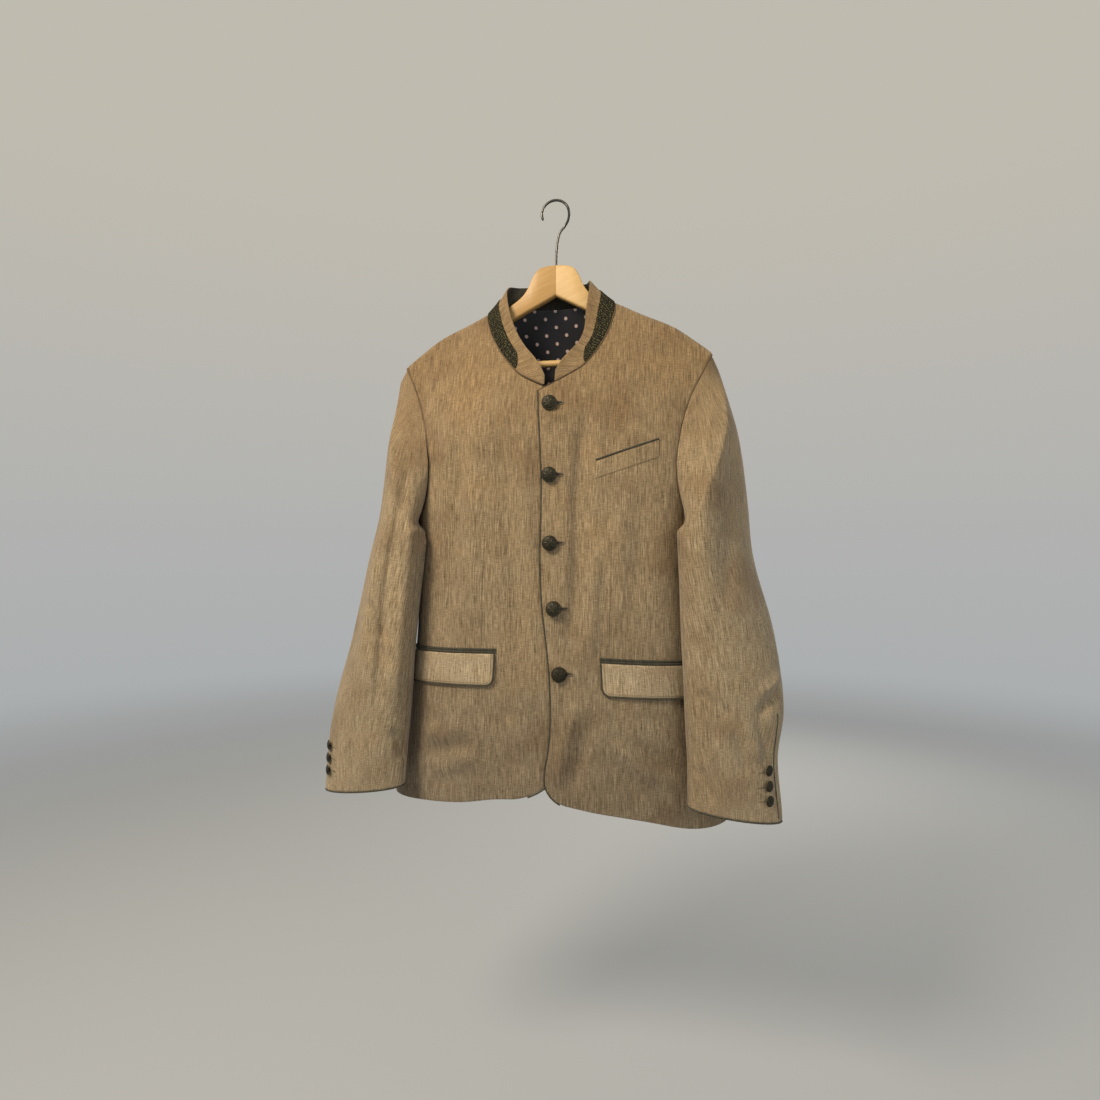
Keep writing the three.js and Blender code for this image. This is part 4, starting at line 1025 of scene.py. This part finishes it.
for side in SIDES:
    upward = crowd_shoulder(denser_ends(150, 0.0016))
    across = denser_ends(100)
    across = across * (0.55 + 0.45 * across)  # closer towards the front edge
    on_body(f"front_{side}", front_panel, side, across, upward, partial(front_point, side))
    on_body(f"side_{side}", side_panel, side, denser_ends(40, 0.005), denser_ends(70, 0.0024))
    on_body(f"back_{side}", back_panel, side, denser_ends(80), upward, start=180.0 * SIDES[side])
cloth = [o for o in bpy.data.objects if o.name.endswith("_cloth")]
print("body panels:", len(cloth), "with", sum(len(o.data.polygons) for o in cloth), "faces")

# %% [markdown]
# ## Sleeves
# A sleeve starts at the armhole and settles on its own sections, pushed clear of the body. On the
# way down the front seam turns in to the body, and the back seam out to the side.

# %% sleeves
SECTION = ("inner", "outer", "front", "back", "tilt")
ARM_OPEN_Z, ARM_OPEN_X = -430, 200  # above this height the body is cut away beyond this x
GRAIN_RADIUS = 68  # a sleeve's mean radius, which turns angles into lengths of cloth


def clear_of_body(x, y, z, out):
    """Moves points out until they are SLEEVE_CLEAR off the body, less how far they lie out already."""
    gap, square = SLEEVE_CLEAR - out, squareness(z)
    for _ in range(3):
        depth = np.where(y < 0, depth_front(z), depth_back(z)) + gap
        along = np.clip(y / depth, -1, 1)
        full = lerp(body_front(z), body_back(z), (along + 1) / 2)
        free = np.clip((z - ARM_OPEN_Z) / 60, 0, 1)
        width = lerp(full, np.minimum(full, ARM_OPEN_X), free) + gap
        size = (np.abs(x / width) ** square + np.abs(y / depth) ** square) ** (1 / square)
        push = np.where(size < 1, 1 / np.maximum(size, 1e-6), 1)
        x, y = x * push, y * push
    return x, y


def sleeve_point(side, turn, w, out, folded=True):
    """turn is degrees round the sleeve: 0 outermost, 90 in front, 180 next to the body."""
    table, a = SLEEVE[side], np.radians(turn)
    inner, outer, front, back, tilt = (column(table, "z", name) for name in SECTION)
    marks = [0, ARM_FRONT * 0.82, (ARM_FRONT + ARM_BACK) / 2, lerp(ARM_BACK, 1, 0.18), 1]
    share = np.interp(np.mod(turn, 360), [0, 90, 180, 270, 360], marks)
    angle, z0 = armhole(share, 0.9)
    inward = np.minimum(np.cos(a), 0)
    z0 = np.minimum(z0, ridge_z(SHOULDER_END) - 0.3)
    p = torso(angle, z0, -inward * 3, folded=False)

    def ring(z, off):
        x = (inner(z) + outer(z)) / 2 + ((outer(z) - inner(z)) / 2 + off) * np.cos(a + np.radians(tilt(z)))
        y = (front(z) + back(z)) / 2 - ((back(z) - front(z)) / 2 + off) * np.sin(a)
        return clear_of_body(x, y, z, off)

    z = lerp(z0, CUFF_Z[side] - CUFF_DIP * np.cos(a), w)
    reach = 22 + 40 * np.abs(np.sin(a)) ** np.where(np.cos(a) < 0, 12, 2)
    hold = smooth(1 - (z0 - z) / reach)

    def at(off):
        x0, y0 = p[..., 0] + off * inward, p[..., 1] - off * np.sin(a)
        anchor, here = ring(z0, off), ring(z, off)
        x = here[0] + (x0 - anchor[0]) * hold
        y = here[1] + (y0 - anchor[1]) * hold
        return x, y

    if folded:
        x, y = at(0.0)
        ahead = smooth(np.sin(a), -0.15, 0.35)
        behind = smooth(-np.sin(a), 0.15, 0.6)
        folds = SLEEVE_FOLDS[side]
        soft = relief(folds, x, z) * ahead + 0.6 * relief(folds, x - 6, z - 24) * behind
        out = out + (soft + waver(x, z)) * smooth(w, 0.0, 0.08) * smooth(w, 1.04, 0.95)
    x, y = at(out)
    return np.stack([SIDES[side] * x, y, z + out * np.maximum(np.cos(a), 0) * hold], -1)


def seam_turn(name, w):
    return lerp(*SEAM_TURNS[name], w)


def sleeve_wall(name, side, low, high, us, vs):
    """The part of a sleeve between two seams. Each piece takes its grain from another stretch."""
    u, v = np.meshgrid(us, vs**1.3)
    turn = lerp(low(v), high(v), u)
    x, y, z = np.moveaxis(sleeve_point(side, turn, v, 0.0, folded=False), -1, 0)
    inner, outer, front, back = (column(SLEEVE[side], "z", edge)(z) for edge in SECTION[:4])
    round_it = np.arctan2((front + back) / 2 - y, abs(x) - (inner + outer) / 2)
    middle = np.radians((low(0.5) + high(0.5)) / 2)
    round_it = np.mod(round_it - middle + np.pi, 2 * np.pi) - np.pi
    grain = (round_it * GRAIN_RADIUS + 400 * len(name), z)
    made = wall(name, lambda us, vs: lambda out: sleeve_point(side, turn, v, out), us, vs, uv=grain)
    return place_piece(made, LINEN_SLEEVE_LIT, "linen", name)


for side in SIDES:
    down = denser_ends(150, 0.0012)
    sleeve_wall(
        f"sleeve_top_{side}",
        side,
        lambda w: seam_turn("back", w) + 0.25,
        lambda w: seam_turn("front", w) - 0.25,
        denser_ends(90),
        down,
    )
    sleeve_wall(
        f"sleeve_under_{side}",
        side,
        lambda w: seam_turn("front", w) + 0.25,
        lambda w: seam_turn("back", w) + 359.75,
        denser_ends(60),
        down,
    )
    turns = np.linspace(0, 360, 140, endpoint=False)
    path = sleeve_point(side, turns, np.ones(140), np.full(140, -0.6)) - [0, 0, 1.1]
    cord = tube(f"cuff_piping_{side}_cord", path, 1.15, closed=True)
    place_piece(cord, OLIVE, "olive", f"cuff_piping_{side}")
print("sleeves and cuffs built")


# %% armhole seams
for side, s in SIDES.items():
    angle, z = armhole(np.linspace(0.004, 0.996, 260), 0.5)
    z = np.minimum(z, ridge_z(SHOULDER_END - 1) - 1)
    thick = 1.6 + 0.9 * smooth(np.abs(np.linspace(-1, 1, 260)), 0.95, 1)  # more at the shoulder tip
    # the seam is a cord of the darker seam linen: a real seam, partly painted shade
    seam = tube(f"armhole_seam_{side}", torso(s * angle, z, -1.3), thick, 8)
    place_piece(seam, LINEN_SEAM_SHADE, "linen")
    w = np.linspace(0.01, 0.985, 200)
    for line in ("front", "back"):
        seam = tube(f"sleeve_seam_{line}_{side}", sleeve_point(side, seam_turn(line, w), w, -1.3), 0.9, 6)
        place_piece(seam, LINEN_SEAM_SHADE, "linen")
print("armhole seams built")

# %% [markdown]
# ## Collar and lining
# The stand collar leans in from its seam to its top edge. Its inlay is a raised olive strip at the
# foot, and its facing is olive inside. The dotted lining shows at the back of the neck.

# %% collar
BACK_FOOT = -145  # the collar reaches down to here behind, over the edge of the back panels
BAND_FOOT = 0.03  # elsewhere it starts at this share of its height
INLAY_REACH = (0.1, 0.9)  # the inlay's two ends, as shares of the collar


def on_torso(x, z, face):
    return torso(angle_of(x, z, face), min(z, float(ridge_z(abs(x))) - 0.5))


stations = (
    [(on_torso(*seam, "front"), top) for seam, top in COLLAR_RIGHT]
    + [(on_torso(*seam, "back"), top) for seam, top in COLLAR_BACK]
    + [(on_torso(*seam, "front"), top) for seam, top in COLLAR_LEFT[::-1]]
)
collar_seam, collar_top = (spline([s[k] for s in stations]) for k in (0, 1))


def collar_point(t, h, out):
    """t runs from the wearer's right end round the back to the left end, h from seam to top edge."""

    def at(t, h):
        return lerp(collar_seam(t), collar_top(t), h[..., None])

    ahead, up = at(t + 0.01, h) - at(t - 0.01, h), at(t, h + 0.1) - at(t, h - 0.1)
    normal = np.cross(ahead, up)
    normal /= np.linalg.norm(normal, axis=-1, keepdims=True)
    p = at(t, h)
    outward = (p - [-6, 0, 0]) * [1, 1, 0]
    normal *= np.where(np.sum(normal * outward, -1) < 0, -1, 1)[..., None]
    bend = 1.6 * np.sin(np.pi * np.clip(h, 0, 1)) + 0.35 * np.sin(t * 41) * h
    return p + normal * (out + 1.2 - bend)[..., None]


def collar_end(t):
    """The band's top edge drops in a curve at both ends."""
    near = np.clip(1 - np.minimum(t, 1 - t) / 0.035, 0, 1)
    return 1 - 0.28 * near**2


def collar_strip(low, high, out, reach=(0, 1)):
    """A form on the collar between two lines, each a share of its height."""

    def place(us, vs):
        u, v = np.meshgrid(us, vs)
        t = lerp(*reach, u)
        h = lerp(low(u), high(u), v)
        return lambda off: collar_point(t, h, off + out)

    return place


def inlay_top(u):
    rise = np.clip(np.minimum(u, 1 - u) / 0.07, 0, 1)
    return lerp(0.04, 0.56, rise**0.55)


def foot(t):
    """The band starts just above its seam, and at the back reaches down over the panels' edge."""
    seam, top = collar_seam(t), collar_top(t)
    low = (BACK_FOOT - seam[..., 2]) / (top[..., 2] - seam[..., 2])
    return lerp(BAND_FOOT, np.clip(low, -0.25, BAND_FOOT), smooth(seam[..., 1], -4, 8))


across, upward = denser_ends(180, 0.002), denser_ends(16, 0.012)
band = wall("collar_band", collar_strip(foot, collar_end, 0), across, upward)
place_piece(band, LINEN, "linen", "collar_band")
facing = wall(
    "collar_facing",
    collar_strip(foot, collar_end, -CLOTH - 0.5),
    denser_ends(150, 0.002),
    denser_ends(10, 0.012),
    thick=1.2,
    roll=0.5,
)
place_piece(facing, FACING, "olive", "collar_facing")
inlay = wall(
    "collar_inlay",
    collar_strip(lambda u: foot(lerp(*INLAY_REACH, u)) - 0.01, inlay_top, 1.3, INLAY_REACH),
    denser_ends(170, 0.0025),
    denser_ends(8, 0.03),
    thick=1.2,
    roll=0.6,
    roll_width=1.6,
)
place_piece(inlay, INLAY, "inlay", "collar_inlay")

around = np.linspace(0.004, 0.996, 220)
seam = tube("collar_seam", collar_point(around, np.full(220, 0.0), -1.2), 1.3, 8)
place_piece(seam, LINEN_SEAM_SHADE, "linen")

# %% lining
LINING_HALF, LINING_FOOT, LINING_TOP = 112, -340, -135
LINING_LENGTH = 203
LINING_IN = 3.2  # behind the inside of the back panels


def lining_form(us, vs):
    u, v = np.meshgrid(us, vs)
    x = lerp(-LINING_HALF, LINING_HALF, u)
    z = lerp(LINING_FOOT, np.minimum(LINING_TOP, ridge_z(np.abs(x)) - 4), v)
    angle = angle_of(x + 0.001, z, "back")
    return lambda out: torso(angle, z, out - CLOTH - LINING_IN, folded=False)


across, upward = denser_ends(60), denser_ends(50)
u, v = np.meshgrid(across, upward)
flat = (lerp(-LINING_HALF, LINING_HALF, u), lerp(LINING_FOOT, LINING_FOOT + LINING_LENGTH, v))
lining = wall("back_lining", lining_form, across, upward, thick=1.2, uv=flat)
place_piece(lining, LINING, "lining", "back_lining")
print("collar:", len(band.data.polygons), "faces in the band")

# %% [markdown]
# ## Pockets, seams and stitches
# The flaps, jets and welt lie on the body's own form, so they bend with its folds.


# %% pockets
def flap_angle(side, distance):
    x, z, _ = FLAP_AT[side]
    return walk(x, z, distance)


def flap_level(side, distance):
    _, z, slope = FLAP_AT[side]
    return z - slope * distance


def on_pocket(side, distance, fall, out):
    """A point along the pocket's mouth and below it."""
    distance, fall = np.asarray(distance, float), np.asarray(fall, float)
    return torso(flap_angle(side, distance), flap_level(side, distance) - fall, out)


def flap_form(side, inner):
    """The flap inside its piping, `inner` millimetres from the edge."""
    width, drop, corner = FLAP["width"], FLAP["drop"], FLAP["corner"]

    def place(us, vs):
        u, v = np.meshgrid(us, vs)
        d = lerp(inner, width - inner, u)
        near = np.minimum(d, width - d) - inner
        radius = corner - inner
        share = np.clip((radius - near) / radius, 0, 1)
        fall = lerp(SEAM, drop - inner - radius * (1 - np.sqrt(1 - share**2)), v)
        return lambda out: on_pocket(side, d, fall, out + 2.6 + FLAP["lift"] * v)

    return place


def flap_edge(inset, count=70):
    """Points (distance, fall) down one end of the flap, along its foot and up the other end."""
    width, drop, corner = FLAP["width"], FLAP["drop"], FLAP["corner"]
    a = np.radians(np.linspace(0, 90, 14))
    d = np.concatenate([[inset, inset], corner - (corner - inset) * np.cos(a)])
    fall = np.concatenate([[0.5, (drop - corner) / 2], drop - corner + (corner - inset) * np.sin(a)])
    d = np.concatenate([d, np.linspace(corner, width - corner, count)[1:-1], width - d[::-1]])
    fall = np.concatenate([fall, np.full(count - 2, float(drop - inset)), fall[::-1]])
    return d, fall


def dashes(name, path, radius, length, gap, material, slot):
    """A line of stitches: short cords along a path, joined into one piece."""
    p = np.asarray(path, float)
    run = np.concatenate([[0], np.cumsum(np.linalg.norm(np.diff(p, axis=0), axis=1))])
    made = []
    for i, start in enumerate(np.arange(0, run[-1] - length, length + gap)):
        at = np.linspace(start, start + length, 4)
        bit = np.stack([np.interp(at, run, p[:, k]) for k in range(3)], 1)
        made.append(tube(f"{name}_{i}", bit, radius * np.array([0.6, 1, 1, 0.6]), 5))
    return place_piece(joined(name, made), material, slot)


def flap_line(side, inset, out):
    """A line inside the flap's edge, lifted as the flap is."""
    d, fall = flap_edge(inset)
    return on_pocket(side, d, fall, out + FLAP["lift"] * fall / FLAP["drop"])


for side in SIDES:
    form = flap_form(side, PIPING + 0.4)
    flap = wall(f"flap_{side}", form, np.linspace(0, 1, 90), denser_ends(22, 0.012), roll=0.6)
    place_piece(flap, LINEN_FLAP_LIT, "linen", f"flap_{side}")
    cord = tube(f"flap_piping_{side}_cord", flap_line(side, PIPING / 2, 2.3), 0.95)
    place_piece(cord, OLIVE, "olive", f"flap_piping_{side}")
    d = np.linspace(0.5, FLAP["width"] - 0.5, 80)
    jets = [
        tube(f"jet_{side}_{k}", on_pocket(side, d, np.full(80, fall), 1.1), 1.65, 12, (1.0, 0.7))
        for k, fall in enumerate((-1.9, -5.4))
    ]
    place_piece(joined(f"jets_{side}", jets), OLIVE, "olive", f"jet_{side}")
    line = flap_line(side, PIPING + 3.2, 2.9)
    dashes(f"flap_stitch_{side}", line, 0.28, 2.2, 1.0, THREAD, "linen")


def welt_point(u, fall, out):
    """A point along the breast welt's top edge and below it."""
    (x0, z0), (x1, z1) = WELT["left"], WELT["right"]
    x, z = lerp(x0, x1, u), lerp(z0, z1, u) - fall
    return torso(angle_of(x, z), z, out)


def welt_form(us, vs):
    u, v = np.meshgrid(us, vs)
    return lambda out: welt_point(u, lerp(PIPING + SEAM, WELT["drop"], v), out + lerp(1.5, 0.9, v))


welt = wall("breast_welt", welt_form, denser_ends(40, 0.008), denser_ends(14, 0.03), thick=0.9, roll=0.4)
place_piece(welt, LINEN, "linen", "breast_welt")
along = np.linspace(0.005, 0.995, 50)
cord = tube("breast_piping_cord", welt_point(along, np.full(50, 1.1), 1.2), 1.35)
place_piece(cord, OLIVE, "olive", "breast_piping")
print("pockets and welt built")


# %% front edges
def front_edge(side, gap, count=160):
    """x and z round the lower corner and up the front edge, `gap` outside the panel."""
    s, (across, up) = SIDES[side], CORNERS[side]
    corner_angle, corner_z, corner_x = corner_start(side)
    a = np.radians(np.linspace(72, 0, 30))
    x = corner_x + s * (across - (across + gap) * np.cos(a))
    z = corner_z - up * np.sin(a)
    for _ in range(5):
        z = hem_z(angle_of(x, z)) + up - (up + gap) * np.sin(a)
    z_line = np.linspace(corner_z, NECK[side][0][1], count)[1:]
    x_line = centre_edge(side, z_line) - s * gap
    return np.concatenate([x, x_line]), np.concatenate([z, z_line])


for side in SIDES:
    x, z = front_edge(side, SEAM + PIPING / 2 - 0.2)
    cord = tube(f"edge_piping_{side}_cord", front_point(side, angle_of(x, z), z, -0.6), 1.15)
    place_piece(cord, EDGE, "olive", f"edge_piping_{side}")

# a painted shadow line along the neck edge of the lapping front, from its piping to the collar's end: a thin
# cord of the darker seam linen
x, z = (np.linspace(NECK["left"][0][k], NECK["left"][1][k], 24) for k in (0, 1))
neck_shadow_line = tube("neck_edge_cord", front_point("left", angle_of(x, z), z, 0.1), 0.55, 6)
place_piece(neck_shadow_line, LINEN_SEAM_SHADE, "linen")

# darts, as (x, z) down the cloth to just above the pockets
DARTS = {
    "dart_right": [(-84, -466), (-86, -520), (-87, -575), (-88, -626)],
    "dart_left": [(88, -484), (87, -540), (86, -600), (86, -634)],
}
for name, points in DARTS.items():
    p = by_length(points)(np.linspace(0, 1, 60))
    thin = 0.3 + 0.15 * np.linspace(0, 1, 60)
    seam = tube(name, torso(angle_of(p[:, 0], p[:, 1]), p[:, 1], 0.02), thin, 6)
    place_piece(seam, LINEN_SEAM_SHADE, "linen")

HEM_DEPTH = 21
HEM_STITCHES = {"left": (30, 56), "right": (-56, -38)}  # between these angles
for side, (low, high) in HEM_STITCHES.items():
    angles = np.linspace(low, high, 160)
    line = torso(angles, hem_z(angles) + HEM_DEPTH, 0.05)
    dashes(f"hem_stitch_{side}", line, 0.22, 2.4, 2.2, LINEN_SEAM_SHADE, "linen")
print("edges, darts and hems built")

# %% [markdown]
# ## Buttons and buttonholes
# A button stands on its shank, square to the cloth, and leans as its table says. Each buttonhole is
# a slit edged with thread, and the cuffs have short bars of thread.


# %% buttons
def button_mesh(radius):
    """A domed button with a raised rim and a low star in its middle, on a shank."""
    profile = [(0, 0), (0.26, 0), (0.26, 0.3), (0.6, 0.33), (0.9, 0.36), (0.97, 0.4), (1.0, 0.46)]
    profile += [(0.97, 0.53), (0.91, 0.56), (0.86, 0.55), (0.82, 0.56), (0.74, 0.61), (0.62, 0.67)]
    profile += [(0.48, 0.71), (0.34, 0.74), (0.2, 0.755), (0.08, 0.765), (0, 0.77)]
    count = 64
    a = np.linspace(0, 2 * np.pi, count, endpoint=False)
    rings = []
    for r, h in profile:
        relief_height = 0.03 * np.cos(8 * a) * np.sin(np.pi * np.clip((r - 0.15) / 0.6, 0, 1)) * (h > 0.58)
        rings.append(np.stack([r * np.cos(a), r * np.sin(a), h + relief_height], 1) * radius)
    points = np.concatenate(rings)
    faces = [
        (j * count + i, j * count + (i + 1) % count, (j + 1) * count + (i + 1) % count, (j + 1) * count + i)
        for j in range(len(profile) - 1)
        for i in range(count)
    ]
    return points, faces


def add_button(name, at, ahead, radius, tilt=(0, 0)):
    """A button on the cloth at one point, facing another."""
    normal = ahead - at
    normal /= np.linalg.norm(normal)
    side = np.cross([0, 0, 1.0], normal)
    side /= np.linalg.norm(side)
    rise = np.cross(normal, side)
    points, faces = button_mesh(radius)
    tx, ty = np.radians(tilt)
    turn_x = np.array([[1, 0, 0], [0, np.cos(tx), -np.sin(tx)], [0, np.sin(tx), np.cos(tx)]])
    turn_y = np.array([[np.cos(ty), 0, np.sin(ty)], [0, 1, 0], [-np.sin(ty), 0, np.cos(ty)]])
    points = points @ (turn_x @ turn_y).T
    points = at + points @ np.stack([side, rise, normal])
    made = mesh_object(f"{name}_dome", points, faces, sharp=35)
    return place_piece(made, BRONZE, "button", name)


for i, (x, z, tilt_x, tilt_y) in enumerate(BUTTONS, 1):
    angle = angle_of(x, z)
    add_button(f"button_{i}", torso(angle, z, 0.5), torso(angle, z, 14), 10.5, (tilt_x, tilt_y))

VENT_TURN, VENT_REACH = 23, (0.768, 0.992)  # the edge of the left cuff's vent, on the sleeve
line = [sleeve_point("left", VENT_TURN, w, 0.1) for w in np.linspace(*VENT_REACH, 60)]
place_piece(tube("cuff_vent_left", line, 0.8, 8), OLIVE, "olive")
for side in SIDES:
    for i, rise in enumerate(CUFF_RISE[side], 1):
        w = 1 - rise / (SLEEVE_TOP - CUFF_Z[side])
        turn = seam_turn("back", w) + BUTTON_TURN[side]
        at, ahead = (sleeve_point(side, turn, w, out) for out in (0.3, 12))
        add_button(f"cuff_button_{side}_{i}", at, ahead, 7)
        hole = [sleeve_point(side, turn + d, w, 0.25) for d in np.linspace(5, 15, 8)]
        bar = tube(f"cuff_hole_{side}_{i}", hole, 0.75, 8, (1.0, 0.5))
        place_piece(bar, THREAD, "linen")


def buttonhole(number, x, z):
    """A slit edged with thread: an eye under the button and a tail away from the front edge."""
    a = np.linspace(0, 2 * np.pi, 48, endpoint=False)
    wide, high, level = 8.2, 1.9, z + 0.4
    across, up = (np.sign(k) * np.abs(k) ** 0.5 for k in (np.cos(a), np.sin(a)))
    ring_x, ring_z = x + 10.0 + wide * across, level + high * up
    line = torso(angle_of(ring_x, ring_z), ring_z, 0.25)
    place_piece(tube(f"buttonhole_{number}", line, 0.95, 8, closed=True), HOLE_THREAD, "linen")
    # the slit between the threads is a dark cord: painted shade in the opening of the cut
    slit_x = np.linspace(x + 2, x + 16.5, 12)
    line = torso(angle_of(slit_x, level), np.full(12, level), 0.0)
    place_piece(tube(f"button_slit_{number}", line, 1.2, 6), SLIT_SHADE, "linen")


for i, (x, z, _, _) in enumerate(BUTTONS, 1):
    buttonhole(i, x, z)

# %% [markdown]
# ## Hanger
# Two contoured arms meet in a mitre under the wire hook, and a bar runs between their ends.

# %% hanger
WIRE = 1.9  # radius of the hook's wire
ARM = rows(
    "x top under",
    (0.15, -78.5, -124),
    (14, -80, -131.5),
    (27, -85, -138.5),
    (35, -97, -143),
    (40, -109, -145.5),
    (48, -121, -150),
    (60, -131.5, -156.5),
    (75, -141, -164.5),
    (94, -152.4, -174.5),
    (125, -165.8, -192),
    (170, -186.8, -222),
    (192, -202.6, -234),
    (206, -214.2, -238),
    (214, -224.5, -236),
)


def arm_ring(s, x, top, under, half=6.0, corner=4.0):
    """A section across an arm: a rectangle with rounded corners."""
    y, middle, high = ridge_y(x), (top + under) / 2, (top - under) / 2
    r = min(corner, high * 0.8)
    a = np.radians(np.arange(0, 360, 11.25) + 0.01)
    cy = np.where(np.cos(a) > 0, 1, -1) * (half - r)
    cz = np.where(np.sin(a) > 0, 1, -1) * (high - r)
    return np.stack([np.full(len(a), s * x), y + cy + r * np.cos(a), middle + cz + r * np.sin(a)], 1)


def rings_object(name, rings):
    """A solid through sections, closed at both ends."""
    count = len(rings[0])
    faces = [
        (j * count + i, j * count + (i + 1) % count, (j + 1) * count + (i + 1) % count, (j + 1) * count + i)
        for j in range(len(rings) - 1)
        for i in range(count)
    ]
    faces += [tuple(range(count))[::-1], tuple((len(rings) - 1) * count + i for i in range(count))]
    if rings[-1][0][0] < 0:
        faces = [f[::-1] for f in faces]
    return mesh_object(name, np.concatenate(rings), faces, sharp=50)


top_z, under_z = column(ARM, "x", "top"), column(ARM, "x", "under")
for side, s in SIDES.items():
    xs = np.concatenate([[0.15, 0.5], np.linspace(1.5, 210, 130), [211.5, 212.8, 213.6, 214]])
    rings = [arm_ring(s, x, float(top_z(x)), float(under_z(x))) for x in xs]
    place_piece(rings_object(f"hanger_arm_{side}_wood", rings), PINE_LIT_AND_SHADED[side], "pine", f"hanger_arm_{side}")

bar_y = ridge_y(175)
bar = tube("hanger_bar_rod", [(x, bar_y, -225.5) for x in np.linspace(-184, 184, 40)], 5, 28)
place_piece(bar, PINE_LIT_AND_SHADED["left"], "pine", "hanger_bar")


def hook_path():
    """Up out of the mitre, then round the bend that hangs on the rail."""
    radius, y = 19.9, 8.0
    centre = HOOK_RISE - radius + WIRE
    points = [(0, y, -79), (0, y, -67), (0.4, y, -59), (2.4, y, -42), (6, y, -30)]
    for a in np.radians(np.arange(-48, 206, 23)):
        fade = 1 - np.clip((np.degrees(a) + 48) / 60, 0, 1)
        points.append((radius * np.cos(a), y * fade, centre + radius * np.sin(a)))
    return spline(points)(np.linspace(0, 1, 200))


radii = np.full(200, WIRE)
radii[-6:] = WIRE * np.sqrt(1 - np.linspace(0, 0.97, 6) ** 2)  # the end of the wire is round
place_piece(tube("hanger_hook_wire", hook_path(), radii, 20), STEEL, "steel", "hanger_hook")

# %% [markdown]

# %% [markdown]
# ## Floor, light and camera
# A pale floor that fades out with distance, a soft warm light high on the left, a wide weaker fill
# from the right, one behind for the back, and a pale surround.


# %% floor
def floor_object():
    count, reach, z = 96, 7.0, -1.32  # in metres, well below the hem
    a = np.linspace(0, 2 * np.pi, count, endpoint=False)
    points = np.stack([reach * np.cos(a), reach * np.sin(a), np.full(count, z)], 1)
    mesh = bpy.data.meshes.new("floor")
    mesh.from_pydata(points, [], [tuple(range(count))])
    made = bpy.data.objects.new("floor", mesh)
    bpy.context.scene.collection.objects.link(made)
    material, tree, shader = surface("floor", 0.9, specular=0.1)
    shader.inputs["Base Color"].default_value = colour("a0a4a8")
    far = node(tree, "VectorMath", {0: node(tree, "TexCoord").outputs["Object"]}, operation="LENGTH")
    fade = node(tree, "MapRange", {0: far.outputs["Value"], 1: 1.6, 2: 4.5}, interpolation_type="SMOOTHSTEP")
    clear = node(tree, "BsdfTransparent")
    both = node(tree, "MixShader", {0: fade.outputs[0], 1: shader.outputs[0], 2: clear.outputs[0]})
    tree.links.new(both.outputs[0], tree.nodes["Material Output"].inputs["Surface"])
    made.data.materials.append(material)
    made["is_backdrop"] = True
    return made


floor_object()
print("floor made")


# %% light
def area_light(name, at, towards, size, watts, code):
    light = bpy.data.lights.new(name, "AREA")
    light.shape, light.size, light.energy = "DISK", size, watts
    light.color = colour(code)[:3]
    made = bpy.data.objects.new(name, light)
    bpy.context.scene.collection.objects.link(made)
    made.location = at
    made.rotation_euler = (Vector(towards) - Vector(at)).to_track_quat("-Z", "Y").to_euler()
    return made


area_light("key", (-1.0, -1.35, 0.85), (0, 0, -0.42), 0.8, 54, "ffefd9")
area_light("fill", (1.5, -1.6, -0.2), (0, 0, -0.5), 1.4, 11, "eef0f4")
area_light("back_fill", (0.6, 2.0, 0.3), (0, 0, -0.5), 1.6, 30, "fff6ea")
world = bpy.data.worlds.new("surround")
bpy.context.scene.world = world
world.use_nodes = True
tree = world.node_tree
height = node(tree, "SeparateXYZ", {0: node(tree, "TexCoord").outputs["Generated"]}).outputs[2]
share = math_node(tree, "MULTIPLY_ADD", height, 0.5, 0.5)
tone = ramp(tree, share, (0.25, "a9b0b6"), (0.5, "b9bab9"), (0.72, "c9c4b8"))
tree.links.new(tone, tree.nodes["Background"].inputs[0])
tree.nodes["Background"].inputs[1].default_value = 0.9

# %% camera
AZIMUTH, DISTANCE, FOCAL_PIXELS, FRAME_PIXELS = 10, 1.02, 700, 1100
target = Vector((-0.008, 0, -0.507))
lens = bpy.data.cameras.new("camera")
lens.sensor_width, lens.lens = 36, 36 * FOCAL_PIXELS / FRAME_PIXELS
camera = bpy.data.objects.new("camera", lens)
bpy.context.scene.collection.objects.link(camera)
turn = math.radians(AZIMUTH)
camera.location = target + DISTANCE * Vector((math.sin(turn), -math.cos(turn), 0))
camera.rotation_euler = (target - camera.location).to_track_quat("-Z", "Y").to_euler()
bpy.context.scene.camera = camera
bpy.context.scene.view_settings.view_transform = "Standard"
print("camera at", [round(v, 3) for v in camera.location])

# %% finish
print("final size", write_size())
